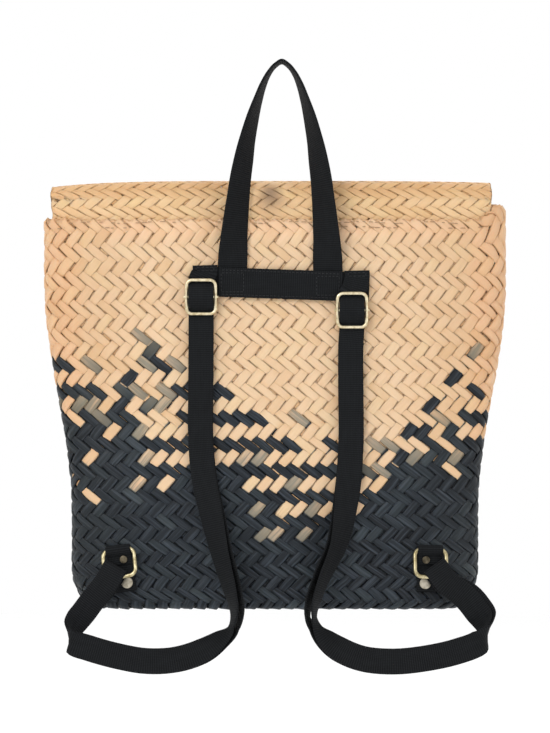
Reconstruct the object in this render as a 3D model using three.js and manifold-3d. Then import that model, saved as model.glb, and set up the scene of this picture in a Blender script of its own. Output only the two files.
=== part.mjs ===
// Woven straw backpack with black webbing straps, seen from its back.
// Millimetres. The bag's own frame has x across, y towards the front flap and z up from the base.
// The whole bag is then moved so that its origin is where the carry handle hangs.
import * as THREE from 'three';
import { mergeVertices } from 'three/addons/utils/BufferGeometryUtils.js';
import Module from 'manifold-3d';

const wasm = await Module();
wasm.setup();
const { lerp, smoothstep, clamp, degToRad } = THREE.MathUtils;

// Straw body
const bagHeight = 327;
const baseHalfWidth = 171.5;
const baseHalfDepth = 58;
const mouthHalfWidth = 195.5;
const mouthHalfDepth = 38;
const baseEdgeRadius = 10;
const strawThickness = 2.4;
const cornerRise = 12;
const cornerRiseFrom = 0.88;
const cornerRiseInner = 0.94;
const cornerRiseOuter = 0.995;
const seatGap = 0.3;
const baseSquareness = 7;
const mouthSquareness = 4;
const flareStart = 0.25;
const flareEnd = 0.84;

// Straw flap, from its seam inside the back rim to its free edge on the front
const flapHalfWidth = 186;
const flapShift = -3;
const flapSeamDepth = 15;
const flapRise = 34;
const flapFoldRadius = 15;
const flapDrop = 125;
const flapCornerRadius = 22;
const flapDroop = 6;
const flapEase = 0.8;
const flapStraightness = 0.6;
const flapCornerPacking = 0.7;

// Webbing sewn across the back
const bandWidth = 25;
const bandThickness = 1.6;
const bandLeft = -69.7;
const bandRight = 79.9;
const bandHeight = 272.4;
const bandTilt = 2;

// Carry handle
const handleWidth = 25;
const handleThickness = 2;
const handleRise = 177;
const handleHalfSpan = 40.4;
const handleShift = 5.8;
const handleFootShift = 4.35;
const sewnEase = 0.2;

// Shoulder straps, doubled between the slider and the ring
const strapWidth = 20;
const strapThickness = 1.6;
const strapEndInset = 0.5;
const strapTail = 3.2;

// Wire sliders
const sliderWire = 2.8;
const sliderClearance = 1;
const sliderHeight = 31.5;
const sliderCorner = 3.2;
const sliderBarRadius = 1.2;
const sliderNub = 1;
const railEase = 0.35;

// Lower anchors: webbing tab, wire ring and two rivets on each side
const ringWire = 3.5;
const ringClearance = 1.4;
const ringHeight = 27;
const ringCorner = 4.5;
const foldEase = 1.2;
const foldSlack = 1.2;
const anchorInset = 41.9;
const anchorUp = 38.5;
const tabBelow = 25;
const tabFrontEnd = 1.5;
const shankRadius = 1.6;
const rivetHeadHeight = 1.3;
const rivetWasher = 0.8;
const upperRivetRadius = 3.2;
const lowerRivetRadius = 4.8;
const upperRivetRise = 2.2;
const lowerRivetDrop = 17.5;
const rivetShift = 3.5;
const strapTurn = 36;

// How finely the solids are divided
const stepsAround = 60;
const stepsUp = 12;
const stepsRound = 3;
const flapColumns = 20;
const wireSides = 6;
const wireSteps = 24;

// The left and right straps, from below the slider to beside the bottom ring. Shares of the way across
// from the slider to the ring and of the way up from the ring to the slider, and of the strap's width out
// from the back and between its layers. edge points across the strap, to the right as it leaves the slider.
const leftStrap = [
  { across: -0.001, up: 0.854, out: 0.20, apart: 0.12, edge: [1, 0, 0] },
  { across: -0.001, up: 0.685, out: 0.20, apart: 0.12, edge: [1, 0, 0] },
  { across: -0.004, up: 0.457, out: 0.22, apart: 0.12, edge: [1, 0, 0] },
  { across: -0.057, up: 0.304, out: 0.30, apart: 0.14, edge: [0.98, -0.17, 0] },
  { across: -0.126, up: 0.216, out: 0.42, apart: 0.18, edge: [0.94, -0.34, 0] },
  { across: -0.272, up: 0.037, out: 0.62, apart: 0.24, edge: [0.71, -0.71, 0] },
  { across: -0.405, up: -0.096, out: 0.85, apart: 0.27, edge: [0.53, -0.85, 0] },
  { across: -0.464, up: -0.199, out: 0.95, apart: 0.27, edge: [0.31, -0.95, 0] },
  { across: -0.420, up: -0.283, out: 1.05, apart: 0.24, edge: [0.10, -0.99, -0.10] },
  { across: -0.259, up: -0.331, out: 1.20, apart: 0.17, edge: [0.29, -0.82, -0.49] },
  { across: -0.045, up: -0.358, out: 1.35, apart: 0.14, edge: [0.23, -0.42, -0.87] },
  { across: 0.272, up: -0.375, out: 1.45, apart: 0.12, edge: [0.10, -0.14, -0.98] },
  { across: 0.651, up: -0.381, out: 1.50, apart: 0.12, edge: [0, 0, -1] },
  { across: 1.031, up: -0.363, out: 1.52, apart: 0.12, edge: [-0.20, 0, -0.98] },
  { across: 1.412, up: -0.333, out: 1.52, apart: 0.12, edge: [-0.22, 0, -0.97] },
  { across: 1.640, up: -0.309, out: 1.42, apart: 0.12, edge: [-0.10, 0.10, -0.98] },
  { across: 1.742, up: -0.272, out: 1.08, apart: 0.12, edge: [0.25, 0.48, -0.84] },
  { across: 1.665, up: -0.230, out: 0.74, apart: 0.12, edge: [0.60, 0.25, -0.70] },
  { across: 1.538, up: -0.193, out: 0.60, apart: 0.14, edge: [0.80, 0, -0.60] },
  { across: 1.348, up: -0.139, out: 0.52, apart: 0.20, edge: [0.75, 0, -0.66] },
];
const rightStrap = [
  { across: -0.016, up: 0.856, out: 0.20, apart: 0.12, edge: [1, 0, 0] },
  { across: -0.019, up: 0.682, out: 0.20, apart: 0.12, edge: [1, 0, 0] },
  { across: -0.019, up: 0.481, out: 0.22, apart: 0.12, edge: [1, 0, 0] },
  { across: -0.053, up: 0.328, out: 0.30, apart: 0.14, edge: [0.99, 0.14, 0] },
  { across: -0.093, up: 0.240, out: 0.42, apart: 0.18, edge: [0.94, 0.34, 0] },
  { across: -0.204, up: 0.079, out: 0.62, apart: 0.22, edge: [0.71, 0.71, 0] },
  { across: -0.401, up: -0.049, out: 0.82, apart: 0.27, edge: [0.50, 0.87, 0] },
  { across: -0.523, up: -0.162, out: 0.95, apart: 0.30, edge: [0.34, 0.94, 0] },
  { across: -0.544, up: -0.242, out: 1.02, apart: 0.28, edge: [0.17, 0.98, 0] },
  { across: -0.486, up: -0.298, out: 1.10, apart: 0.20, edge: [0.23, 0.97, 0.13] },
  { across: -0.374, up: -0.344, out: 1.22, apart: 0.15, edge: [0.39, 0.77, 0.51] },
  { across: -0.191, up: -0.383, out: 1.35, apart: 0.13, edge: [0.37, 0.37, 0.83] },
  { across: 0.111, up: -0.407, out: 1.45, apart: 0.12, edge: [0.15, 0.09, 0.99] },
  { across: 0.520, up: -0.417, out: 1.50, apart: 0.12, edge: [0, 0, 1] },
  { across: 0.966, up: -0.403, out: 1.52, apart: 0.12, edge: [-0.15, 0, 0.99] },
  { across: 1.362, up: -0.376, out: 1.52, apart: 0.12, edge: [-0.30, 0, 0.95] },
  { across: 1.643, up: -0.341, out: 1.42, apart: 0.12, edge: [-0.28, -0.08, 0.95] },
  { across: 1.781, up: -0.290, out: 1.08, apart: 0.12, edge: [0.23, -0.60, 0.76] },
  { across: 1.739, up: -0.244, out: 0.74, apart: 0.12, edge: [0.60, -0.30, 0.70] },
  { across: 1.633, up: -0.203, out: 0.60, apart: 0.14, edge: [0.81, 0, 0.59] },
  { across: 1.468, up: -0.142, out: 0.52, apart: 0.20, edge: [0.80, 0, 0.60] },
];

// One leg of the carry handle, from the band's top edge to the apex. Shares of the handle's rise up, of
// its half span apart and of its width out from the mouth, with the turn of the webbing in degrees.
const handleLeg = [
  { up: 0.00, apart: 1.00, out: 0.14, turn: 0 },
  { up: 0.06, apart: 0.99, out: 0.20, turn: 10 },
  { up: 0.14, apart: 0.97, out: 0.30, turn: 25 },
  { up: 0.24, apart: 0.93, out: 0.37, turn: 35 },
  { up: 0.33, apart: 0.89, out: 0.39, turn: 42 },
  { up: 0.43, apart: 0.84, out: 0.39, turn: 47 },
  { up: 0.53, apart: 0.77, out: 0.31, turn: 53 },
  { up: 0.62, apart: 0.70, out: 0.21, turn: 61 },
  { up: 0.72, apart: 0.60, out: 0.10, turn: 68 },
  { up: 0.81, apart: 0.49, out: 0.00, turn: 76 },
  { up: 0.88, apart: 0.39, out: -0.08, turn: 81 },
  { up: 0.94, apart: 0.27, out: -0.15, turn: 86 },
  { up: 0.98, apart: 0.14, out: -0.20, turn: 89 },
  { up: 1.00, apart: 0.00, out: -0.21, turn: 90 },
];

// The handle's feet down from the band's top edge, as shares of the band's width
const handleFoot = [{ down: 0.62 }, { down: 0.30 }];

// The strap's end up from the band's middle, as shares of the band's width
const strapEnd = [{ up: 0.55 }, { up: 0.32 }];

// The strap from above the slider to its bar: shares of the rail's reach up, and of the way from behind
// the rail to over the bar
const railPassage = [
  { up: 1.00, over: 0.00 },
  { up: 0.80, over: 0.10 },
  { up: 0.42, over: 0.70 },
];
const aboveSlider = { up: 1.25, across: 0.45 };

// The tab's front layer: shares of the top rail's height up, and of the step out to the rail
const tabFront = [
  { up: 0.00, out: 0.0 },
  { up: 0.48, out: 0.0 },
  { up: 0.70, out: 0.6 },
];

// A rivet's head: shares of its radius and of its height
const rivetHead = [
  { radius: 0.0, height: 1.00 },
  { radius: 0.6, height: 0.85 },
  { radius: 1.0, height: 0.25 },
];

// Each side's slider below the strap's end, as shares of the band's width down and of the strap's width
// across, and the turn of its ring in degrees
const sides = [
  { name: 'left', sign: -1, table: leftStrap, drop: 0.53, shift: -0.165, turn: -8 },
  { name: 'right', sign: 1, table: rightStrap, drop: 0.80, shift: -0.22, turn: 1 },
];

const straw = new THREE.MeshStandardMaterial({ color: 0xd9bb90, roughness: 0.85, metalness: 0 });
const webbing = new THREE.MeshStandardMaterial({ color: 0x202326, roughness: 0.9, metalness: 0 });
const paleMetal = new THREE.MeshStandardMaterial({ color: 0xcfc39a, roughness: 0.35, metalness: 1 });
const brass = new THREE.MeshStandardMaterial({ color: 0xb59a5b, roughness: 0.35, metalness: 1 });

const bag = new THREE.Group();
const vector = (x, y, z) => new THREE.Vector3(x, y, z);

function addPart(parent, name, geometry, material) {
  const mesh = new THREE.Mesh(geometry, material);
  mesh.name = name;
  parent.add(mesh);
  return mesh;
}

// A closed geometry with shared corners, its faces turned outwards
function closed(points, faces) {
  const geometry = new THREE.BufferGeometry();
  const numbers = points.flatMap((p) => [p.x, p.y, p.z]);
  geometry.setAttribute('position', new THREE.Float32BufferAttribute(numbers, 3));
  geometry.setIndex(faces.flat());
  return geometry;
}

function merged(source) {
  const geometry = source.clone();
  geometry.deleteAttribute('normal');
  geometry.deleteAttribute('uv');
  return mergeVertices(geometry, 1e-4);
}

function toSolid(source) {
  const geometry = merged(source);
  return new wasm.Manifold(new wasm.Mesh({
    numProp: 3,
    vertProperties: new Float32Array(geometry.attributes.position.array),
    triVerts: new Uint32Array(geometry.index.array),
  }));
}

function fromSolid(solid) {
  const mesh = solid.getMesh();
  const geometry = new THREE.BufferGeometry();
  geometry.setAttribute('position', new THREE.BufferAttribute(mesh.vertProperties, 3));
  geometry.setIndex(new THREE.BufferAttribute(mesh.triVerts, 1));
  return geometry;
}

function cut(geometry, cutters) {
  return fromSolid(cutters.reduce((solid, cutter) => solid.subtract(toSolid(cutter)), toSolid(geometry)));
}

// Loops of points joined in order, with a fan closing the first and the last
function loft(loops) {
  const around = loops[0].length;
  const points = loops.flat();
  const faces = [];
  for (let i = 0; i < loops.length - 1; i += 1) {
    for (let j = 0; j < around; j += 1) {
      const next = (j + 1) % around;
      const row = i * around;
      const above = row + around;
      faces.push([row + j, row + next, above + next], [row + j, above + next, above + j]);
    }
  }
  const first = points.length;
  const last = first + 1;
  const offset = (loops.length - 1) * around;
  const middle = (loop) => loop.reduce((sum, p) => sum.add(p), vector(0, 0, 0)).divideScalar(around);
  points.push(middle(loops[0]), middle(loops[loops.length - 1]));
  for (let j = 0; j < around; j += 1) {
    const next = (j + 1) % around;
    faces.push([first, next, j], [last, offset + j, offset + next]);
  }
  return closed(points, faces);
}

// A sheet of even thickness on a grid of points, rows along it and columns across it
function sheet(grid, thickness) {
  const rows = grid.length;
  const columns = grid[0].length;
  const points = [[], []];
  for (let i = 0; i < rows; i += 1) {
    for (let k = 0; k < columns; k += 1) {
      const along = grid[Math.min(i + 1, rows - 1)][k].clone().sub(grid[Math.max(i - 1, 0)][k]);
      const across = grid[i][Math.min(k + 1, columns - 1)].clone().sub(grid[i][Math.max(k - 1, 0)]);
      const out = along.cross(across).normalize().multiplyScalar(thickness / 2);
      points[0].push(grid[i][k].clone().add(out));
      points[1].push(grid[i][k].clone().sub(out));
    }
  }
  const face = (i, k) => i * columns + k;
  const back = (i, k) => rows * columns + i * columns + k;
  const faces = [];
  const quad = (a, b, c, d) => faces.push([a, b, c], [a, c, d]);
  for (let i = 0; i < rows - 1; i += 1) {
    for (let k = 0; k < columns - 1; k += 1) {
      quad(face(i, k), face(i + 1, k), face(i + 1, k + 1), face(i, k + 1));
      quad(back(i, k), back(i, k + 1), back(i + 1, k + 1), back(i + 1, k));
    }
    quad(face(i, 0), back(i, 0), back(i + 1, 0), face(i + 1, 0));
    quad(face(i, columns - 1), face(i + 1, columns - 1), back(i + 1, columns - 1), back(i, columns - 1));
  }
  for (let k = 0; k < columns - 1; k += 1) {
    quad(face(0, k), face(0, k + 1), back(0, k + 1), back(0, k));
    quad(face(rows - 1, k), back(rows - 1, k), back(rows - 1, k + 1), face(rows - 1, k + 1));
  }
  return closed(points.flat(), faces);
}

// Webbing swept along stations, each with a place and the direction of its width. A station with no edge
// of its own lies flat to the bag's back, its width to the right or, where facing is -1, to the left.
function ribbon(stations, width, thickness, stepsEach) {
  const curve = new THREE.CatmullRomCurve3(stations.map((s) => s.place), false, 'centripetal');
  const spans = stations.length - 1;
  const edges = stations.map((station, index) => {
    if (station.edge) return station.edge;
    const along = curve.getTangent(index / spans);
    const flat = vector(-along.z, 0, along.x).normalize();
    return flat.multiplyScalar(Math.sign(flat.x) * station.facing);
  });
  const grid = [];
  for (let step = 0; step <= spans * stepsEach; step += 1) {
    const span = Math.min(Math.floor(step / stepsEach), spans - 1);
    const share = step / stepsEach - span;
    const place = curve.getPoint(step / (spans * stepsEach));
    const along = curve.getTangent(step / (spans * stepsEach));
    const edge = edges[span].clone().lerp(edges[span + 1], share);
    edge.addScaledVector(along, -edge.dot(along)).setLength(width / 2);
    grid.push([place.clone().sub(edge), place.clone().add(edge)]);
  }
  return sheet(grid, thickness);
}

// Wire bent to a rounded rectangle in the x and z plane, closed on itself
function wireFrame(width, height, corner, wire) {
  const [x, z] = [(width - wire) / 2, (height - wire) / 2];
  const path = new THREE.CurvePath();
  const corners = [[x, z, 1, 1], [-x, z, -1, 1], [-x, -z, -1, -1], [x, -z, 1, -1]];
  corners.forEach(([cx, cz, sx, sz], index) => {
    const [before, after] = index % 2 === 0 ? [[0, sz], [sx, 0]] : [[sx, 0], [0, sz]];
    const start = vector(cx - corner * before[0], 0, cz - corner * before[1]);
    const end = vector(cx - corner * after[0], 0, cz - corner * after[1]);
    const [nx, nz, nsx, nsz] = corners[(index + 1) % corners.length];
    const nextBefore = index % 2 === 0 ? [nsx, 0] : [0, nsz];
    path.add(new THREE.QuadraticBezierCurve3(start, vector(cx, 0, cz), end));
    path.add(new THREE.LineCurve3(end, vector(nx - corner * nextBefore[0], 0, nz - corner * nextBefore[1])));
  });
  return new THREE.TubeGeometry(path, wireSteps, wire / 2, wireSides, true);
}

// The body's outline at a height, a rounded rectangle that flattens and widens towards the mouth
function section(z, inset) {
  const opened = smoothstep(z / bagHeight, flareStart, flareEnd);
  return {
    halfWidth: lerp(baseHalfWidth, mouthHalfWidth, opened) - inset,
    halfDepth: lerp(baseHalfDepth, mouthHalfDepth, opened) - inset,
    squareness: lerp(baseSquareness, mouthSquareness, opened),
  };
}

// How far the front and back stand from the middle plane at a place, inset from the outer face
function wallDepth(x, z, inset) {
  const { halfWidth, halfDepth, squareness } = section(z, inset);
  const share = clamp(Math.abs(x) / halfWidth, 0, 1);
  return halfDepth * (1 - share ** squareness) ** (1 / squareness);
}

function bodyLoop(z, inset) {
  const { halfWidth, halfDepth, squareness } = section(z, inset);
  const power = 2 / squareness;
  return Array.from({ length: stepsAround }, (unused, j) => {
    const angle = (j / stepsAround) * Math.PI * 2;
    const [cos, sin] = [Math.cos(angle), Math.sin(angle)];
    const x = halfWidth * Math.sign(cos) * Math.abs(cos) ** power;
    const y = halfDepth * Math.sign(sin) * Math.abs(sin) ** power;
    const nearMouth = smoothstep(z / bagHeight, cornerRiseFrom, 1);
    const nearCorner = smoothstep(x / mouthHalfWidth, cornerRiseInner, cornerRiseOuter);
    return vector(x, y, z + cornerRise * nearMouth * nearCorner);
  });
}

// The open basket: outside from the flat base to the rim, then inside back down to the base
function bodyGeometry() {
  const loops = [];
  for (let step = 0; step < stepsRound; step += 1) {
    const angle = (step / stepsRound) * (Math.PI / 2);
    loops.push(bodyLoop(baseEdgeRadius * (1 - Math.cos(angle)), baseEdgeRadius * (1 - Math.sin(angle))));
  }
  for (let step = 0; step <= stepsUp; step += 1) {
    loops.push(bodyLoop(lerp(baseEdgeRadius, bagHeight, step / stepsUp), 0));
  }
  for (let step = stepsUp; step >= 0; step -= 1) {
    loops.push(bodyLoop(lerp(baseEdgeRadius, bagHeight, step / stepsUp), strawThickness));
  }
  const innerRadius = baseEdgeRadius - strawThickness;
  for (let step = stepsRound - 1; step >= 0; step -= 1) {
    const angle = (step / stepsRound) * (Math.PI / 2);
    const inset = strawThickness + innerRadius * (1 - Math.sin(angle));
    loops.push(bodyLoop(strawThickness + innerRadius * (1 - Math.cos(angle)), inset));
  }
  return loft(loops);
}

// Rows of the flap from the seam to the free edge: y and z on the middle line, how far the row has
// opened from the wall's curve towards a straight line, and how much its two sides droop
function flapRows() {
  const inside = strawThickness + seatGap + strawThickness / 2;
  const outside = -seatGap - strawThickness / 2 - flapEase;
  const top = bagHeight + flapRise;
  const back = -wallDepth(0, bagHeight, inside);
  const front = wallDepth(0, bagHeight, outside);
  const rows = [];
  for (let step = 0; step <= 4; step += 1) {
    const z = lerp(bagHeight - flapSeamDepth, top - flapFoldRadius, step / 4);
    const relax = smoothstep(z, bagHeight, top) * flapStraightness;
    rows.push({ y: back, z, inset: inside, relax, droop: 0 });
  }
  const arc = (centre, from, sign) => {
    for (let step = 1; step <= 5; step += 1) {
      const angle = degToRad(from - (step / 5) * 90);
      rows.push({
        y: centre + flapFoldRadius * Math.cos(angle),
        z: top - flapFoldRadius + flapFoldRadius * Math.sin(angle),
        inset: sign < 0 ? inside : outside,
        relax: flapStraightness,
        droop: Math.sin(angle),
      });
    }
  };
  arc(back + flapFoldRadius, 180, -1);
  for (let step = 1; step <= 3; step += 1) {
    const y = lerp(back + flapFoldRadius, front - flapFoldRadius, step / 4);
    rows.push({ y, z: top, inset: inside, relax: flapStraightness, droop: 1 });
  }
  rows.push({ y: front - flapFoldRadius, z: top, inset: outside, relax: flapStraightness, droop: 1 });
  arc(front - flapFoldRadius, 90, 1);
  for (let step = 1; step <= 8; step += 1) {
    const z = top - flapFoldRadius - flapDrop * (step / 8);
    const relax = flapStraightness * (1 - smoothstep(step, 0, 3));
    rows.push({ y: wallDepth(0, z, outside), z, inset: outside, relax, droop: 0 });
  }
  return rows;
}

function flapGeometry() {
  const edge = bagHeight + flapRise - flapFoldRadius - flapDrop;
  const rows = flapRows();
  const grid = rows.map(({ y, z, inset, relax, droop }, index) => {
    const onFront = index > rows.length / 2;
    const below = onFront ? Math.max(flapCornerRadius - (z - edge), 0) : 0;
    const rounding = flapCornerRadius - Math.sqrt(flapCornerRadius ** 2 - below ** 2);
    return Array.from({ length: flapColumns + 1 }, (unused, k) => {
      const side = Math.sin(degToRad(lerp(-90, 90, k / flapColumns)));
      const across = Math.sign(side) * Math.abs(side) ** flapCornerPacking;
      const x = flapShift + across * (flapHalfWidth - rounding);
      const curve = wallDepth(x, z, inset) / wallDepth(0, z, inset);
      return vector(x, y * lerp(curve, 1, relax), z - flapDroop * droop * across ** 4);
    });
  });
  return sheet(grid, strawThickness);
}

// The band across the back, sewn flat on the straw
const bandSlope = Math.tan(degToRad(bandTilt));
const bandMiddle = (bandLeft + bandRight) / 2;
const bandCentre = (x) => bandHeight - (x - bandMiddle) * bandSlope;

function bandGeometry() {
  const columns = 6;
  const grid = [];
  for (let row = 0; row <= 3; row += 1) {
    grid.push(Array.from({ length: columns + 1 }, (unused, k) => {
      const x = lerp(bandLeft, bandRight, k / columns);
      const z = bandCentre(x) + bandWidth * (0.5 - row / 3);
      return vector(x, -wallDepth(x, z, -seatGap - bandThickness / 2), z);
    }));
  }
  return sheet(grid, bandThickness);
}

// How far from the straw a webbing of a given thickness lies when it is sewn on the band
const overBand = (thickness) => 2 * seatGap + bandThickness + sewnEase + thickness / 2;

// The carry handle, up from the band on the left, over the apex and down to the band on the right
function handleGeometry() {
  const legs = (sign) => handleLeg.map(({ up, apart, out, turn }) => {
    const foot = bandCentre(sign * handleHalfSpan) + bandWidth / 2;
    const z = lerp(foot, bandHeight + bandWidth / 2, up) + handleRise * up;
    const x = sign * handleHalfSpan * apart + lerp(handleFootShift, handleShift, up);
    const angle = degToRad(turn);
    return {
      place: vector(x, -(mouthHalfDepth + out * handleWidth), z),
      edge: vector(-sign * Math.cos(angle), Math.sin(angle), 0),
    };
  });
  const foot = (sign) => {
    const x = sign * handleHalfSpan + handleFootShift;
    return handleFoot.map(({ down }) => {
      const z = bandCentre(x) + bandWidth * (0.5 - down);
      return { place: vector(x, -wallDepth(x, z, -overBand(handleThickness)), z), facing: -sign };
    });
  };
  const left = [...foot(-1), ...legs(-1)];
  const right = [...foot(1), ...legs(1)].slice(0, -1).reverse();
  return ribbon([...left, ...right], handleWidth, handleThickness, 2);
}

// Where a strap's end is sewn, and where its slider's bar lies below it
function strapPlaces({ sign, drop, shift }) {
  const inset = strapWidth / 2 + strapEndInset;
  const endAcross = sign < 0 ? bandLeft + inset : bandRight - inset;
  return {
    endAcross,
    sliderAcross: endAcross + shift * strapWidth,
    sliderUp: bandCentre(endAcross) - drop * bandWidth,
  };
}

// A slider lies in front of the strap's end, at the middle of its wire
const railReach = sliderHeight / 2 - sliderWire / 2;
const layerStep = strapThickness + seatGap;
const behindRail = sliderWire / 2 + seatGap + railEase + strapThickness / 2;

function sliderDepth({ sliderAcross, sliderUp }) {
  const straw = wallDepth(sliderAcross, sliderUp - railReach, 0);
  return straw + behindRail + layerStep + strapThickness / 2 + 3 * seatGap;
}

function sliderGeometry() {
  const width = strapWidth + 2 * (sliderClearance + sliderWire);
  const frame = wireFrame(width, sliderHeight, sliderCorner, sliderWire);
  const barLength = width + 2 * sliderNub;
  const bar = new THREE.CylinderGeometry(sliderBarRadius, sliderBarRadius, barLength, wireSides * 2);
  bar.rotateZ(Math.PI / 2);
  return fromSolid(toSolid(frame).add(toSolid(bar)));
}

// How far from the middle the lower anchors are
const anchorAcross = baseHalfWidth - anchorInset;

// The frame of a lower anchor: on the outer face of the back, z up along it and y into the bag
function anchorGroup(side) {
  const group = new THREE.Group();
  const x = side.sign * anchorAcross;
  const lean = Math.atan((wallDepth(x + 1, anchorUp, 0) - wallDepth(x - 1, anchorUp, 0)) / 2);
  group.position.set(x, -wallDepth(x, anchorUp, 0), anchorUp);
  group.rotation.set(0, degToRad(side.turn), -lean, 'ZYX');
  group.updateMatrix();
  return group;
}

const wrapRadius = ringWire / 2 + seatGap + strapThickness / 2;
const tabBack = -(seatGap + strapThickness / 2);
const railTop = ringHeight / 2 - ringWire / 2;
const topRailDepth = tabBack - wrapRadius;
const ringWidth = strapWidth + 2 * (ringClearance + ringWire);
const foldAcross = ringWidth / 2 - ringWire / 2 - (strapWidth / 2) * Math.cos(degToRad(strapTurn));
const foldDown = railTop - (strapWidth / 2) * Math.sin(degToRad(strapTurn));
const foldDepth = tabBack - 2 * layerStep - wrapRadius - foldEase;
const ringLean = Math.asin((topRailDepth - foldDepth) / (railTop + foldDown));
const ringPlace = vector(0, topRailDepth - railTop * Math.sin(ringLean), 0);

function ringGeometry() {
  return wireFrame(ringWidth, ringHeight, ringCorner, ringWire);
}

// The tab's webbing, from its short front end up over the ring's top rail and down behind the ring
function tabGeometry(cutters) {
  const rail = railTop * Math.cos(ringLean);
  const frontLayer = tabBack - layerStep;
  const places = [[frontLayer, -tabFrontEnd]];
  for (const { up, out } of tabFront) {
    places.push([lerp(frontLayer, topRailDepth - wrapRadius, out), rail * up]);
  }
  for (let angle = 210; angle >= 0; angle -= 30) {
    const [cos, sin] = [Math.cos(degToRad(angle)), Math.sin(degToRad(angle))];
    places.push([topRailDepth + wrapRadius * cos, rail + wrapRadius * sin]);
  }
  places.push([tabBack, rail * 0.5], [tabBack, 0], [tabBack, -tabBelow / 2], [tabBack, -tabBelow]);
  const stations = places.map(([y, z]) => ({ place: vector(0, y, z), edge: vector(1, 0, 0) }));
  return cut(ribbon(stations, strapWidth, strapThickness, 1), cutters);
}

// A rivet through the wall and the webbing in front of it, its head outside and its washer inside
function rivetGeometry(headRadius, webbingFace) {
  const front = webbingFace - seatGap;
  const inside = strawThickness + seatGap;
  const onHead = ({ radius, height }) => [headRadius * radius, front - rivetHeadHeight * height];
  const profile = rivetHead.map(onHead);
  profile.push([headRadius, front], [shankRadius, front], [shankRadius, inside], [headRadius, inside]);
  profile.push([headRadius, inside + rivetWasher], [0, inside + rivetWasher]);
  return new THREE.LatheGeometry(profile.map(([radius, y]) => new THREE.Vector2(radius, y)), 10);
}

function rivetHole() {
  const length = 4 * (strawThickness + 2 * layerStep);
  return new THREE.CylinderGeometry(shankRadius + seatGap, shankRadius + seatGap, length, 10);
}

// The whole of one shoulder strap: from the band, through the slider, round the ring and back to the bar
function strapStations(side, places, anchor) {
  const { sliderAcross: x, sliderUp: z, endAcross } = places;
  const level = sliderDepth(places);
  const place = (forward, up) => vector(x, -(level + forward), z + up);
  const sewn = strapEnd.map(({ up }) => {
    const height = bandCentre(endAcross) + bandWidth * up;
    return { place: vector(endAcross, -wallDepth(x, height, -overBand(strapThickness)), height), facing: 1 };
  });
  const above = place(-behindRail, railReach * aboveSlider.up);
  sewn.push({ place: above.setX(lerp(x, endAcross, aboveSlider.across)), facing: 1 });
  const overBar = sliderBarRadius + 2 * seatGap + strapThickness * 1.5;
  const half = (sign) => railPassage.map(({ up, over }) => (
    { place: place(lerp(-behindRail, overBar, over), sign * railReach * up), facing: 1 }));
  const throughSlider = [...half(1), { place: place(overBar, 0), facing: 1 }, ...half(-1).reverse()];
  const middle = side.table.map(({ across, up, out, apart, edge }) => {
    const height = lerp(anchorUp, z, up);
    const depth = section(height, 0).halfDepth + out * strapWidth;
    return {
      place: vector(lerp(x, side.sign * anchorAcross, across), -depth, height),
      edge: vector(...edge).normalize(),
      apart: Math.max(apart * strapWidth, layerStep),
    };
  });
  const layer = (share) => middle.map((station, index) => {
    const before = middle[Math.max(index - 1, 0)].place;
    const after = middle[Math.min(index + 1, middle.length - 1)].place;
    const along = after.clone().sub(before).normalize();
    const out = along.cross(station.edge).normalize();
    return { place: station.place.clone().addScaledVector(out, share * station.apart), edge: station.edge };
  });
  const ringMatrix = new THREE.Matrix4().makeRotationX(-ringLean).setPosition(ringPlace);
  const foldMatrix = new THREE.Matrix4().makeRotationY(-side.sign * degToRad(strapTurn));
  foldMatrix.setPosition(side.sign * foldAcross, 0, -foldDown);
  foldMatrix.premultiply(ringMatrix).premultiply(anchor.matrix);
  const foldEdge = vector(1, 0, 0).transformDirection(foldMatrix);
  const fold = [0, 30, 60, 90, 120, 150, 180].map((degrees) => {
    const angle = degToRad(degrees);
    const local = vector(0, wrapRadius * Math.cos(angle), wrapRadius * Math.sin(angle) + foldSlack);
    return { place: local.applyMatrix4(foldMatrix), edge: foldEdge };
  });
  const beside = (share) => {
    const local = vector(0, share * 2 * wrapRadius, -ringHeight / 2 + foldSlack);
    return { place: local.applyMatrix4(foldMatrix), edge: foldEdge };
  };
  const barWrap = sliderBarRadius + seatGap + strapThickness / 2;
  const round = [180, 150, 120, 90, 60, 30, 0].map((degrees) => {
    const angle = degToRad(degrees);
    return { place: place(barWrap * Math.cos(angle), barWrap * Math.sin(angle)), edge: vector(1, 0, 0) };
  });
  return [
    ...sewn, ...throughSlider, ...layer(0.5), beside(0.5), ...fold, beside(-0.5), ...layer(-0.5).reverse(),
    { place: place(-behindRail - layerStep, -railReach), facing: 1 },
    ...round, { place: place(barWrap, -strapTail), facing: 1 },
  ];
}

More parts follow.
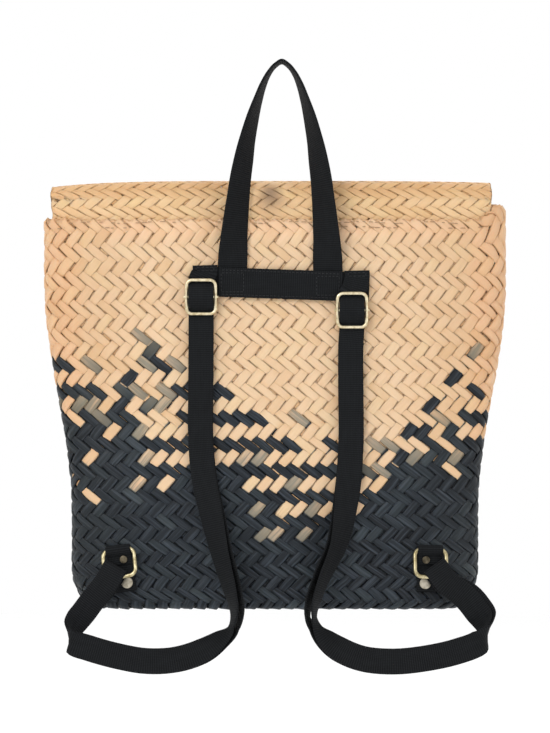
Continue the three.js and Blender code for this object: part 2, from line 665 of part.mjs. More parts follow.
const bodyHoles = [];
for (const side of sides) {
  const anchor = anchorGroup(side);
  const places = strapPlaces(side);
  const rivetAcross = -side.sign * rivetShift;
  const upperHole = rivetHole().translate(rivetAcross, 0, upperRivetRise);
  const lowerHole = rivetHole().translate(rivetAcross, 0, -lowerRivetDrop);
  for (const hole of [upperHole, lowerHole]) {
    bodyHoles.push(hole.clone().applyMatrix4(anchor.matrix));
  }

  addPart(anchor, `ring_tab_${side.name}`, tabGeometry([upperHole, lowerHole]), webbing);
  const ring = addPart(anchor, `bottom_ring_${side.name}`, merged(ringGeometry()), brass);
  ring.position.copy(ringPlace);
  ring.rotation.x = -ringLean;
  const upperFace = tabBack - layerStep - strapThickness / 2;
  const upperGeometry = rivetGeometry(upperRivetRadius, upperFace);
  const upperRivet = addPart(anchor, `upper_rivet_${side.name}`, upperGeometry, brass);
  upperRivet.position.set(rivetAcross, 0, upperRivetRise);
  const lowerFace = tabBack - strapThickness / 2;
  const lowerGeometry = rivetGeometry(lowerRivetRadius, lowerFace);
  const lowerRivet = addPart(anchor, `lower_rivet_${side.name}`, lowerGeometry, brass);
  lowerRivet.position.set(rivetAcross, 0, -lowerRivetDrop);
  bag.add(anchor);

  const strap = ribbon(strapStations(side, places, anchor), strapWidth, strapThickness, 2);
  addPart(bag, `shoulder_strap_${side.name}`, strap, webbing);
  const slider = addPart(bag, `slider_${side.name}`, sliderGeometry(), paleMetal);
  slider.position.set(places.sliderAcross, -sliderDepth(places), places.sliderUp);
}
addPart(bag, 'woven_body', cut(bodyGeometry(), bodyHoles), straw);
addPart(bag, 'flap', flapGeometry(), straw);
addPart(bag, 'cross_band', bandGeometry(), webbing);
addPart(bag, 'carry_handle', handleGeometry(), webbing);

// The origin is the underside of the handle's apex, where a hook or a hand holds the bag
const apex = handleLeg[handleLeg.length - 1];
const hangHeight = bandHeight + bandWidth / 2 + handleRise - handleThickness / 2;
bag.position.set(-handleShift, mouthHalfDepth + apex.out * handleWidth, -hangHeight);

const backpack = new THREE.Group();
backpack.name = 'woven_straw_backpack';
backpack.add(bag);
export default backpack;
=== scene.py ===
# %% [markdown]
# # Woven straw backpack
# The bag hangs by its carry handle and is seen from its back, where the shoulder straps are.
# Every piece is made in metres, in the frame of the loaded solids: x to the right, y away from the
# camera and z up, with the origin under the top of the carry handle.

# %% Load the solids
import math
import bpy
import numpy as np
from mathutils import Matrix, Vector


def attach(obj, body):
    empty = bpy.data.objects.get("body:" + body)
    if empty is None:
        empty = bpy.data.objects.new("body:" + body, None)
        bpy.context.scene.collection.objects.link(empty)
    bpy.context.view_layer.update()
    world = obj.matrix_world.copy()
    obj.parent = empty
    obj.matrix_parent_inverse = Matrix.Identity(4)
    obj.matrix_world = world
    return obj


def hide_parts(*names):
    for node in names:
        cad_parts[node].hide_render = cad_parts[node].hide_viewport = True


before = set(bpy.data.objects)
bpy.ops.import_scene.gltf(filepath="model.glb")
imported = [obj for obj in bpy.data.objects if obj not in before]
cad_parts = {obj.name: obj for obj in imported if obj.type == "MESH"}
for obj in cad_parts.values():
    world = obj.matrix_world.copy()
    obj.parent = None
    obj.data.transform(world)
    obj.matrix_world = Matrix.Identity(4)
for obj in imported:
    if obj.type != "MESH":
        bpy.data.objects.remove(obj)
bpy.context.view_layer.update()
bpy.ops.object.select_all(action="DESELECT")

# %% [markdown]
# The bag's sizes are easier to read in millimetres and from the middle of its own base, so they are
# written that way, and one helper turns such a place into the frame's metres. The wall flares from the
# base to the mouth. The plaited wall is a little wider at the mouth than the plain sheet, its right rim
# corner stands up, and its base corners are soft.

# %% The bag's own sizes
MM = 0.001
BASE = np.array([-5.8, 32.75, -460.9])
HEIGHT = 327.0
BASE_HALF = (171.5, 58.0)
MOUTH_HALF = (197.0, 38.0)
BASE_SQUARE = 7.0
MOUTH_SQUARE = 4.0
EDGE_RADIUS = 10.0
WALL = 2.4
FLARE = (0.25, 0.84)
CORNER_RISE = 12.0
CORNER_SOFT = 9.0
SEAT = 0.3


def to_frame(points):
    """Turn places on the bag, in millimetres from its base, into the frame's metres."""
    return (np.asarray(points, float) + BASE) * MM


def ease(value, low, high):
    """0 below low, 1 above high, and a soft step between them."""
    share = np.clip((value - low) / (high - low), 0.0, 1.0)
    return share * share * (3.0 - 2.0 * share)


def blend(low, high, share):
    return low + (high - low) * share


def section(z, inset=0.0):
    """Half width, half depth and squareness of the basket at a height."""
    opened = ease(np.asarray(z, float) / HEIGHT, *FLARE)
    half_width = blend(BASE_HALF[0], MOUTH_HALF[0], opened) - inset
    half_depth = blend(BASE_HALF[1], MOUTH_HALF[1], opened) - inset
    return half_width, half_depth, blend(BASE_SQUARE, MOUTH_SQUARE, opened)


def wall_depth(x, z, inset=0.0):
    """How far the wall lies from the bag's middle plane at a place on its back or front."""
    half_width, half_depth, square = section(z, inset)
    share = np.clip(np.abs(x) / half_width, 0.0, 1.0)
    return half_depth * (1.0 - share ** square) ** (1.0 / square)


print("depth of the back at its middle:", float(wall_depth(0.0, 200.0)), "mm")

# %% [markdown]
# The camera looks level along +y at the middle of the photograph's frame, which shows 467.5 mm of the
# bag's width. A long lens from 1.9 m keeps the sides nearly parallel, as a product photograph does.

# %% Camera
VIEW_WIDTH = 467.5 * MM
VIEW_MIDDLE = (-5.8, -258.2)
DISTANCE = 1.9
camera_data = bpy.data.cameras.new("camera")
camera_data.sensor_fit = "HORIZONTAL"
camera_data.sensor_width = 36.0
camera_data.lens = 36.0 * DISTANCE / VIEW_WIDTH
camera = bpy.data.objects.new("camera", camera_data)
bpy.context.scene.collection.objects.link(camera)
camera.location = (VIEW_MIDDLE[0] * MM, -DISTANCE, VIEW_MIDDLE[1] * MM)
camera.rotation_euler = (math.radians(90.0), 0.0, 0.0)
bpy.context.scene.camera = camera
print("lens:", round(camera_data.lens, 1), "mm")

# %% [markdown]
# The light is a bright, even studio: a white surround and large soft lamps. The lamp above and to the
# left of the camera gives the straw strips their small shadows.

# %% Light and floor
world = bpy.data.worlds.new("studio")
bpy.context.scene.world = world
world.use_nodes = True
world.node_tree.nodes["Background"].inputs["Color"].default_value = (1.0, 1.0, 1.0, 1.0)
world.node_tree.nodes["Background"].inputs["Strength"].default_value = 1.0
bpy.context.scene.view_settings.view_transform = "Standard"


def soft_lamp(name, place, target, size, power):
    data = bpy.data.lights.new(name, "AREA")
    data.shape = "RECTANGLE"
    data.size, data.size_y = size
    data.energy = power
    lamp = bpy.data.objects.new(name, data)
    bpy.context.scene.collection.objects.link(lamp)
    lamp.location = place
    direction = Vector(target) - Vector(place)
    lamp.rotation_euler = direction.to_track_quat("-Z", "Y").to_euler()


MIDDLE = (0.0, 0.0, -0.28)
FLOOR_RISE = -0.80
soft_lamp("lamp_high_left", (-0.9, -1.5, 0.75), MIDDLE, (0.6, 0.6), 13.0)
soft_lamp("lamp_right", (1.5, -1.1, 0.1), MIDDLE, (1.0, 1.4), 3.0)
soft_lamp("lamp_behind", (0.3, 1.5, 0.9), MIDDLE, (1.6, 1.0), 8.0)

bpy.ops.mesh.primitive_plane_add(size=6.0, location=(0.0, 0.0, FLOOR_RISE))
floor = bpy.context.object
floor.name = "floor"
bpy.ops.object.transform_apply(location=True, rotation=True, scale=True)
pale = bpy.data.materials.new("pale_floor")
pale.use_nodes = True
pale.node_tree.nodes["Principled BSDF"].inputs["Base Color"].default_value = (0.98, 0.98, 0.98, 1.0)
pale.node_tree.nodes["Principled BSDF"].inputs["Roughness"].default_value = 0.9
floor.data.materials.append(pale)
print("lamps and floor ready")

# %% [markdown]
# ## Straw
# The strips are split palm leaf. Each has its own tone, long fibres and a slight satin face, and
# many were dipped in dark dye before they were woven. The weave writes attributes on each strip: `tone`
# for its own shade of straw, `dye` for how much dye it took, `tuck` for where it dives under its
# neighbours and `edge` for its two edges, both darkened with painted shade, and one more that browns
# the sides and the flap's fold with painted shade, or marks a soft grey patch where it is below zero.
# The fibres follow the strip through its UV map.
# A little light passes through split leaf, so the shader has some subsurface scattering.


# %% Node helpers
def new_material(name):
    material = bpy.data.materials.new(name)
    material.use_nodes = True
    return material, material.node_tree, material.node_tree.nodes["Principled BSDF"]


def add_node(tree, kind, **settings):
    node = tree.nodes.new(kind)
    for key, value in settings.items():
        node.inputs[key].default_value = value
    return node


def ramp(tree, source, stops):
    node = tree.nodes.new("ShaderNodeValToRGB")
    elements = node.color_ramp.elements
    while len(elements) < len(stops):
        elements.new(0.5)
    for element, (position, colour) in zip(elements, stops):
        element.position = position
        element.color = (*colour, 1.0)
    tree.links.new(source, node.inputs["Fac"])
    return node.outputs["Color"]


def mix_colours(tree, share, first, second, mode="MIX"):
    node = tree.nodes.new("ShaderNodeMix")
    node.data_type = "RGBA"
    node.blend_type = mode
    for socket, value in ((node.inputs[0], share), (node.inputs[6], first), (node.inputs[7], second)):
        if isinstance(value, bpy.types.NodeSocket):
            tree.links.new(value, socket)
        elif isinstance(value, tuple):
            socket.default_value = (*value, 1.0)
        else:
            socket.default_value = value
    return node.outputs[2]


def maths(tree, operation, first, second=0.0, third=0.0):
    node = tree.nodes.new("ShaderNodeMath")
    node.operation = operation
    for socket, value in zip(node.inputs, (first, second, third)):
        if isinstance(value, bpy.types.NodeSocket):
            tree.links.new(value, socket)
        else:
            socket.default_value = value
    return node.outputs[0]


def attribute(tree, name):
    node = tree.nodes.new("ShaderNodeAttribute")
    node.attribute_name = name
    return node.outputs["Fac"]


def object_places(tree):
    return tree.nodes.new("ShaderNodeTexCoord").outputs["Object"]


def uv_pattern(tree, scale):
    coordinates = tree.nodes.new("ShaderNodeTexCoord")
    mapping = tree.nodes.new("ShaderNodeMapping")
    mapping.inputs["Scale"].default_value = scale
    tree.links.new(coordinates.outputs["UV"], mapping.inputs["Vector"])
    return mapping.outputs["Vector"]


def noise(tree, vector, scale, detail, roughness):
    node = add_node(tree, "ShaderNodeTexNoise", Scale=scale, Detail=detail, Roughness=roughness)
    tree.links.new(vector, node.inputs["Vector"])
    return node.outputs["Fac"]


def bump(tree, height, distance, strength):
    node = add_node(tree, "ShaderNodeBump", Distance=distance, Strength=strength)
    tree.links.new(height, node.inputs["Height"])
    return node.outputs["Normal"]


print("node helpers ready")

# %% Straw material
NATURAL_TONES = [
    (0.0, (0.66, 0.41, 0.22)), (0.3, (0.73, 0.465, 0.285)), (0.55, (0.765, 0.505, 0.325)),
    (0.8, (0.755, 0.515, 0.305)), (1.0, (0.80, 0.565, 0.395))]
BROWN_FIBRE, PALE_BLOTCH, FLAP_TINT = (0.58, 0.37, 0.20), (0.87, 0.63, 0.445), (1.0, 0.965, 0.86)
DYED_TONES = [
    (0.0, (0.004, 0.006, 0.009)), (0.45, (0.009, 0.013, 0.018)), (0.8, (0.018, 0.025, 0.030)),
    (1.0, (0.045, 0.058, 0.064))]
DYED_FIBRE, HALF_DYED = (0.074, 0.090, 0.112), (0.130, 0.155, 0.135)
# Painted shade: these darken the straw where strips dive under their neighbours, dyed or not.
TUCK_SHADE, TUCK_SHADE_DYED = (0.84, 0.71, 0.56), (0.30, 0.28, 0.27)
# Painted shade: these darken the two edges of each strip, dyed or not.
EDGE_SHADE, EDGE_SHADE_DYED = (0.93, 0.88, 0.82), (0.45, 0.45, 0.47)
# Painted shade: the first browns the basket's sides and the flap's fold; the second is a soft grey patch
# on the flap.
SHADE_BROWN, GREY_PATCH = (0.62, 0.48, 0.29), (0.36, 0.37, 0.40)


def straw_material(name, dyed):
    material, tree, shader = new_material(name)
    fibres = noise(tree, uv_pattern(tree, (14.0, 420.0, 1.0)), 1.0, 4.0, 0.6)
    blotches = noise(tree, uv_pattern(tree, (45.0, 60.0, 1.0)), 1.0, 3.0, 0.55)
    tone = attribute(tree, "tone")
    shade_and_patch = attribute(tree, "shade_and_patch")
    natural = ramp(tree, tone, NATURAL_TONES)
    natural = mix_colours(tree, maths(tree, "MULTIPLY", fibres, 0.55), natural, BROWN_FIBRE)
    natural = mix_colours(tree, maths(tree, "MULTIPLY", blotches, 0.35), natural, PALE_BLOTCH)
    if not dyed:
        natural = mix_colours(tree, 1.0, natural, FLAP_TINT, "MULTIPLY")
    # tucked and edge carry the painted shade colours for the dives and for the strip edges.
    colour, tucked, edge = natural, TUCK_SHADE, EDGE_SHADE
    if dyed:
        streaks = ramp(tree, fibres, [(0.46, (0, 0, 0)), (0.72, (1, 1, 1))])
        dark = ramp(tree, tone, DYED_TONES)
        dark = mix_colours(tree, maths(tree, "MULTIPLY", streaks, 0.60), dark, DYED_FIBRE)
        dye = attribute(tree, "dye")
        reach = maths(tree, "ADD", dye, maths(tree, "MULTIPLY", streaks, 0.22))
        share = ramp(tree, reach, [(0.30, (0, 0, 0)), (0.52, (0.75, 0.75, 0.75)), (1.0, (1, 1, 1))])
        half = mix_colours(tree, share, natural, HALF_DYED)
        full = ramp(tree, dye, [(0.50, (0, 0, 0)), (0.85, (1, 1, 1))])
        colour = mix_colours(tree, full, half, dark)
        tucked = mix_colours(tree, full, TUCK_SHADE, TUCK_SHADE_DYED)
        edge = mix_colours(tree, full, EDGE_SHADE, EDGE_SHADE_DYED)
    # Painted shade where strips dive under their neighbours, its strength varied by a large noise.
    gaps = noise(tree, object_places(tree), 14.0, 2.0, 0.5)
    gaps = ramp(tree, gaps, [(0.38, (0.60, 0.60, 0.60)), (0.62, (1.0, 1.0, 1.0))])
    tuck = maths(tree, "MULTIPLY", attribute(tree, "tuck"), gaps)
    colour = mix_colours(tree, tuck, colour, tucked, "MULTIPLY")
    # Painted shade: browner towards the basket's sides and over the flap's fold.
    colour = mix_colours(tree, shade_and_patch, colour, SHADE_BROWN, "MULTIPLY")
    # A soft grey patch on the flap inside the handle, where the value is below zero.
    if not dyed:
        colour = mix_colours(tree, maths(tree, "MULTIPLY", shade_and_patch, -1.0), colour, GREY_PATCH, "MULTIPLY")
    # Painted shade along the strip edges.
    colour = mix_colours(tree, attribute(tree, "edge"), colour, edge, "MULTIPLY")
    tree.links.new(colour, shader.inputs["Base Color"])
    rough = maths(tree, "MULTIPLY_ADD", fibres, 0.25, 0.42)
    tree.links.new(rough, shader.inputs["Roughness"])
    shader.inputs["Specular IOR Level"].default_value = 0.22
    shader.inputs["Subsurface Weight"].default_value = 0.4
    shader.inputs["Subsurface Radius"].default_value = (1.0, 0.7, 0.45)
    shader.inputs["Subsurface Scale"].default_value = 0.002
    tree.links.new(bump(tree, fibres, 0.0004, 0.9), shader.inputs["Normal"])
    return material


basket_straw = straw_material("dyed_straw", True)
flap_straw = straw_material("natural_straw", False)
print("straw materials ready")

# %% [markdown]
# ## The weave
# The basket is plaited in a herringbone twill: strips that climb to the right and strips that climb to
# the left, each over two and under two. It could be a bump texture, but the real strips stand proud,
# their edges catch the light and dark gaps show between them, so each strip is modelled. A strip is a
# thin closed band that follows a surface given by a grid of points, and rises and dives along it.


# %% A surface that strips can follow
class Surface:
    """Points on a grid, looked up by how far along its rows and columns a place lies."""

    def __init__(self, grid, rows, columns, closed):
        self.grid = np.asarray(grid, float)
        self.rows = np.asarray(rows, float)
        self.columns = np.asarray(columns, float)
        self.closed = closed
        along = np.gradient(self.grid, axis=0)
        if closed:
            wide = np.concatenate([self.grid[:, -2:-1], self.grid, self.grid[:, 1:2]], axis=1)
            across = wide[:, 2:] - wide[:, :-2]
        else:
            across = np.gradient(self.grid, axis=1)
        out = np.cross(across, along)
        length = np.linalg.norm(out, axis=2, keepdims=True)
        self.out = out / np.maximum(length, 1e-9)

    def look_up(self, table, column, row):
        r = np.interp(row, self.rows, np.arange(len(self.rows)))
        if self.closed:
            span = self.columns[-1] - self.columns[0]
            column = (column - self.columns[0]) % span + self.columns[0]
        c = np.interp(column, self.columns, np.arange(len(self.columns)))
        r0 = np.minimum(r.astype(int), len(self.rows) - 2)
        c0 = np.minimum(c.astype(int), len(self.columns) - 2)
        fr = (r - r0)[:, None]
        fc = (c - c0)[:, None]
        low = table[r0, c0] * (1 - fc) + table[r0, c0 + 1] * fc
        high = table[r0 + 1, c0] * (1 - fc) + table[r0 + 1, c0 + 1] * fc
        return low * (1 - fr) + high * fr

    def place(self, column, row, height):
        points = self.look_up(self.grid, column, row)
        out = self.look_up(self.out, column, row)
        out /= np.maximum(np.linalg.norm(out, axis=1, keepdims=True), 1e-9)
        return points + out * height[:, None] * MM


def scatter(*numbers):
    """A repeatable value between 0 and 1 for whole numbers, the same on every run."""
    total = np.zeros(np.broadcast(*numbers).shape)
    for number, step in zip(numbers, (12.9898, 78.233, 37.719, 94.673)):
        total = total + np.asarray(number, float) * step
    return np.modf(np.abs(np.sin(total) * 43758.5453))[0]


print("surface helper ready")


# %% Build a mesh piece
def mesh_piece(name, points, faces, material, uvs=None, values=None):
    mesh = bpy.data.meshes.new(name)
    mesh.from_pydata([tuple(p) for p in points], [], [tuple(int(i) for i in f) for f in faces])
    for label, numbers in (values or {}).items():
        layer = mesh.attributes.new(label, "FLOAT", "POINT")
        layer.data.foreach_set("value", np.asarray(numbers, np.float32))
    if uvs is not None:
        layer = mesh.uv_layers.new(name="UVMap")
        corners = np.zeros(len(mesh.loops), int)
        mesh.loops.foreach_get("vertex_index", corners)
        layer.data.foreach_set("uv", np.asarray(uvs, np.float32)[corners].ravel())
    mesh.materials.append(material)
    mesh.validate()
    piece = bpy.data.objects.new(name, mesh)
    bpy.context.scene.collection.objects.link(piece)
    mesh.polygons.foreach_set("use_smooth", np.ones(len(mesh.polygons), bool))
    mesh.update()
    return piece


def settle(piece, slot, *nodes):
    """Let a finished piece ride on the bag and hide the solids it stands for. Its finish, slot, is not
    used.
    """
    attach(piece, "root")
    if nodes:
        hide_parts(*nodes)


def triangles(piece):
    return sum(len(polygon.vertices) - 2 for polygon in piece.data.polygons)


print("mesh helper ready")

# %% [markdown]
# A crossing is numbered by a strip `a` that climbs to the right and a strip `b` that climbs to the
# left. Its height on the bag is `b - a` and its place around is their mean, with a lean. Strip `a` is
# on top where `b - a` is 0 or 1 in every four, and strip `b` on the other two, which gives rows of
# slanted cells. Widths, places and tones vary a little from strip to strip and from cell to cell.
# `repeat` is the number of strips round a closed surface, or 0. The four options after it are
# functions: the dye of a cell, a squeeze of places to an edge, a bulge and the painted shade, with the
# flap's grey patch.

# %% Lay the strips
PITCH = 12.32
LEAN = 0.10
STRIP_STEPS = 4
STRIP_LIFT = 0.34
STRIP_THICK = 0.62
STRIP_FACE = 0.0088
EDGE_SHARES = (-0.50, -0.33, 0.33, 0.50)
TOP_SHARES = (-0.15, 0.5, 0.5, -0.15)


def lay_strips(family, indexes, first_row, last_row, surface, repeat,
               dye=None, squeeze=None, bulge=None, shade_and_patch=None):
    """Points, faces, UVs and values of all the strips of one family on a surface."""
    climbs_right = family == "right"
    steps = int(round((last_row - first_row) * STRIP_STEPS))
    k = np.linspace(first_row, last_row, steps + 1)
    index, k = np.meshgrid(np.asarray(indexes), k, indexing="ij")
    strip = np.mod(index, repeat) if repeat else index
    seed = 3 if climbs_right else 11
    width = blend(0.95, 1.06, scatter(strip, seed))
    wander = (scatter(strip, seed + 1) - 0.5) * 0.08
    wander = wander + 0.03 * np.sin(k * 0.37 + strip * 3.7)
    wander = wander + 0.022 * np.sin(k * 0.9 + strip * 2.1) + 0.016 * np.sin(k * 2.3 + strip * 5.3)
    cell = np.floor((k + (0.0 if climbs_right else 2.0) + 0.5) / 4.0)
    wave = np.cos(np.pi / 2 * (k - 0.5))
    lift = np.sign(wave) * np.abs(wave) ** 0.75 * (1 if climbs_right else -1)
    width = width * blend(0.96, 1.06, scatter(strip, cell, seed + 6))
    width = width * blend(0.94, 1.0, np.clip(lift, 0, 1))
    jitter = blend(0.75, 1.2, scatter(strip, cell, seed + 2))
    height = STRIP_LIFT * lift * np.where(lift > 0, jitter, 1.0)
    rows = []
    for across, top in zip(EDGE_SHARES, TOP_SHARES):
        offset = across * width + wander
        if climbs_right:
            a, b = index + offset, index + k
        else:
            a, b = index - k, index + offset
        row = b - a
        column = (a + b) / 2 - LEAN * row
        at_edge = np.full_like(row, abs(across) > 0.4)
        rows.append((column, row, height + STRIP_THICK * top, at_edge))
    shape = (len(indexes), steps + 1, len(rows))
    column, row, raised, edge = (np.stack(parts, axis=-1) for parts in zip(*rows))
    if bulge is not None:
        swell = bulge(column, row)
        raised = raised * swell + 0.35 * (swell - 1.0)
    if squeeze is not None:
        column, row = squeeze(column, row)
    points = surface.place(column.ravel(), row.ravel(), raised.ravel())
    tone = blend(0.0, 1.0, scatter(strip, seed + 3)) * 0.6 + 0.4 * scatter(strip, cell, seed + 4)
    tone = np.repeat(tone[..., None], len(rows), axis=-1)
    # Painted shade: tuck rises from the shoulders of each float to where the strip dives under, and edge
    # marks the strip's two edges; the straw material darkens both.
    tuck = np.clip((0.85 - lift) / 1.85, 0.0, 1.0) ** 1.4
    tuck = np.repeat(tuck[..., None], len(rows), axis=-1)
    values = {"tone": tone.ravel(), "tuck": tuck.ravel(), "edge": edge.ravel()}
    if dye is not None:
        values["dye"] = dye(family, strip, index, k, cell, len(rows)).ravel()
    # Painted shade that browns the sides and the flap's fold, and on the flap a soft grey patch.
    if shade_and_patch is not None:
        values["shade_and_patch"] = shade_and_patch(column, row).ravel()
    along = (k * PITCH * 0.7 * MM + strip * 0.37)[..., None]
    uv_u = np.broadcast_to(along, shape)
    uv_v = np.stack([across * STRIP_FACE + strip * 0.131 for across in EDGE_SHARES], axis=-1)
    uvs = np.stack([uv_u.ravel(), uv_v.ravel()], axis=1)
    strips, lines, ring = shape
    start = (np.arange(strips)[:, None, None] * lines + np.arange(lines - 1)[None, :, None]) * ring
    j = np.arange(ring)[None, None, :]
    following = (j + 1) % ring
    quads = np.stack([start + j, start + following, start + ring + following, start + ring + j], axis=-1)
    quads = quads.reshape(-1, 4)
    first = np.arange(strips)[:, None] * lines * ring
    caps_low = first + np.arange(ring)[None, ::-1]
    caps_high = first + (lines - 1) * ring + np.arange(ring)[None, :]
    faces = np.concatenate([quads, caps_low, caps_high])
    return points, faces, uvs, values


print("strips are", round(PITCH * 0.71, 1), "mm apart")

# %% [markdown]
# ## The basket
# The wall is looked up by its place around, in strips, and by its row up from the base. The rows are
# a little closer together near the base than near the mouth. The strips turn under the base edge, and
# at the mouth they fold over the rim and end inside. The front takes its dye from the place behind it
# on the back.

# %% The basket's surface
AROUND = 72
BASE_ROW = 19.7
RIM_ROLL = 0.9
ROW_GROWTH = 0.18
FIRST_COLUMN = 0.944
TURNED_UNDER = (22.0, 16.0)
TUCKED_IN = 5.0
BACK_REACH = 222.0
TABLE_REACH = 198.0


def turn_from_middle(column):
    """How far round from the middle of the back a column lies, in millimetres."""
    around = (column - FIRST_COLUMN) % AROUND
    return np.where(around > AROUND / 2, around - AROUND, around) * PITCH


def fold_to_back(turn):
    """The place across the back that lies behind a place on the front."""
    flat = np.where(np.abs(turn) > BACK_REACH, np.sign(turn) * 2 * BACK_REACH - turn, turn)
    return np.clip(flat, -TABLE_REACH, TABLE_REACH)


def row_to_rise(row):
    course = (np.asarray(row, float) - 0.5) / 4.0
    return 0.85 + BASE_ROW * course + np.where(course > 0, ROW_GROWTH * course ** 2, 0.0)


def basket_loop(z, inset, count=720):
    half_width, half_depth, square = section(z, inset)
    angle = np.linspace(-np.pi / 2, 1.5 * np.pi, 4001)
    power = 2.0 / square
    x = half_width * np.sign(np.cos(angle)) * np.abs(np.cos(angle)) ** power
    y = half_depth * np.sign(np.sin(angle)) * np.abs(np.sin(angle)) ** power
    length = np.concatenate([[0.0], np.cumsum(np.hypot(np.diff(x), np.diff(y)))])
    even = np.linspace(0.0, length[-1], count + 1)
    x, y = np.interp(even, length, x), np.interp(even, length, y)
    x = x * (1.0 - CORNER_SOFT / half_width * (1.0 - ease(z, 0.0, 28.0)))
    near_mouth = ease(z / HEIGHT, 0.88, 1.0)
    share = x / MOUTH_HALF[0]
    rise = CORNER_RISE * near_mouth * ease(share, 0.89, 0.955) * (1.0 - 0.35 * ease(share, 0.975, 1.0))
    return np.stack([x, y, np.full_like(x, z) + rise], axis=1)


def basket_grid():
    middle = WALL / 2
    radius = EDGE_RADIUS - middle
    loops, rises = [], []
    for inward in TURNED_UNDER:
        loops.append(basket_loop(middle, inward))
        rises.append(EDGE_RADIUS - radius * np.pi / 2 - (inward - EDGE_RADIUS))
    for angle in np.linspace(0.0, np.pi / 2, 7):
        z, inward = EDGE_RADIUS - radius * np.cos(angle), EDGE_RADIUS - radius * np.sin(angle)
        loops.append(basket_loop(z, inward))
        rises.append(EDGE_RADIUS - radius * (np.pi / 2 - angle))
    for z in np.linspace(EDGE_RADIUS, HEIGHT, 60)[1:]:
        loops.append(basket_loop(z, middle))
        rises.append(z)
    for degrees in (45, 90, 135, 180):
        c, s = math.cos(math.radians(degrees)), math.sin(math.radians(degrees))
        loops.append(basket_loop(HEIGHT, middle + RIM_ROLL * (1 - c)) + (0.0, 0.0, RIM_ROLL * s))
        rises.append(HEIGHT + RIM_ROLL * math.radians(degrees))
    loops.append(basket_loop(HEIGHT, middle + RIM_ROLL * 2) - (0.0, 0.0, TUCKED_IN))
    rises.append(rises[-1] + TUCKED_IN)
    return np.array(loops), np.array(rises)


loops, rises = basket_grid()
table_rows = np.linspace(-8.0, 66.0, 2000)
row_of_rise = np.interp(rises, row_to_rise(table_rows), table_rows)
columns = np.linspace(0.0, AROUND, loops.shape[1]) + FIRST_COLUMN
basket_surface = Surface(to_frame(loops), row_of_rise, columns, closed=True)
LAST_ROW = float(row_of_rise[-1])
RIM_ROW = float(row_of_rise[-6])
print("rows of crossings up the wall:", round(LAST_ROW, 1))

# %% [markdown]
# The dye reaches each strip to its own height. On the back it climbs at the far left and the far right
# and dips in the middle, and strips that climb to the right stay pale further down. Some cells are odd
# ones: dark above the edge, pale below it, or only half dyed. Short tables give the heights of the edge
# and the odd cells, in millimetres on the back; the front has the same edge without them. An
# odd cell has its place, the way its strip climbs and how much dye it took.

# %% Where the dye ends
DYE_LEFT_CLIMBERS = [
    (-191, 218), (-183, 218), (-181, 201), (-151, 201), (-149, 179), (-124, 179), (-122, 157),
    (-88, 157), (-86, 178), (-77, 201), (-38, 196), (-37, 174), (-8, 174), (-5, 151), (25, 151),
    (27, 128), (82, 128), (88, 132), (110, 132), (112, 119), (133, 119), (137, 136), (144, 139),
    (156, 142), (159, 162), (191, 167)]
DYE_RIGHT_CLIMBERS = [
    (-191, 170), (-150, 170), (-146, 190), (-137, 190), (-133, 169), (-108, 169), (-105, 145),
    (-101, 124), (-60, 115), (-31, 115), (-29, 93), (7, 93), (9, 71), (58, 71), (65, 98), (94, 102),
    (98, 126), (110, 126), (113, 151), (133, 151), (136, 136), (147, 136), (150, 155), (156, 155),
    (158, 130), (191, 132)]
ODD_CELLS = [
    (-185, 212, "left", 1), (-117, 231, "left", 0.5), (-108, 212, "left", 0.5), (-98, 214, "left", 1),
    (-88, 207, "left", 1), (-82, 215, "left", 0.5), (-113, 188, "left", 0.5), (-98, 184, "left", 0.5),
    (-176, 150, "left", 0), (-157, 92, "left", 0), (49, 143, "left", 1), (26, 159, "left", 0.45),
    (147, 164, "left", 0.45), (128, 129, "left", 0), (116, 129, "left", 0), (149, 133, "left", 0),
    (154, 115, "left", 0), (139, 129, "left", 1), (99, 106, "left", 0.5), (83, 122, "left", 0.7),
    (94, 127, "left", 0.5), (106, 127, "left", 0.5), (177, 182, "left", 1), (-80, 191, "left", 1),
    (-79, 167, "left", 1), (-153, 149, "left", 0.6), (-122, 201, "right", 1),
    (-105, 223, "right", 0.75), (-142, 179, "right", 1), (-113, 179, "right", 0.7),
    (-164, 179, "right", 0.45), (-92, 177, "right", 0.45), (-168, 160, "right", 0.55),
    (-145, 158, "right", 0), (-122, 157, "right", 0.5), (-161, 136, "right", 0.2),
    (-116, 135, "right", 0.4), (-105, 134, "right", 0), (-92, 133, "right", 0), (-79, 131, "right", 0),
    (-98, 113, "right", 0), (-116, 97, "right", 0.35), (-26, 126, "right", 0.4),
    (-15, 125, "right", 0.5), (19, 104, "right", 0.5), (-13, 83, "right", 0.5), (36, 82, "right", 0.5),
    (-8, 63, "right", 0.55), (6, 62, "right", 0.45), (31, 62, "right", 0.5), (172, 207, "right", 0.5),
    (156, 185, "right", 1), (138, 162, "right", 1), (119, 141, "right", 1), (130, 141, "right", 1),
    (77, 113, "right", 0), (93, 113, "right", 0), (72, 87, "right", 0), (122, 119, "right", 0.55),
    (163, 140, "right", 0), (169, 139, "right", 0), (175, 142, "right", 0), (158, 136, "right", 0.5),
    (-178, 182, "right", 0), (-153, 178, "right", 0)]


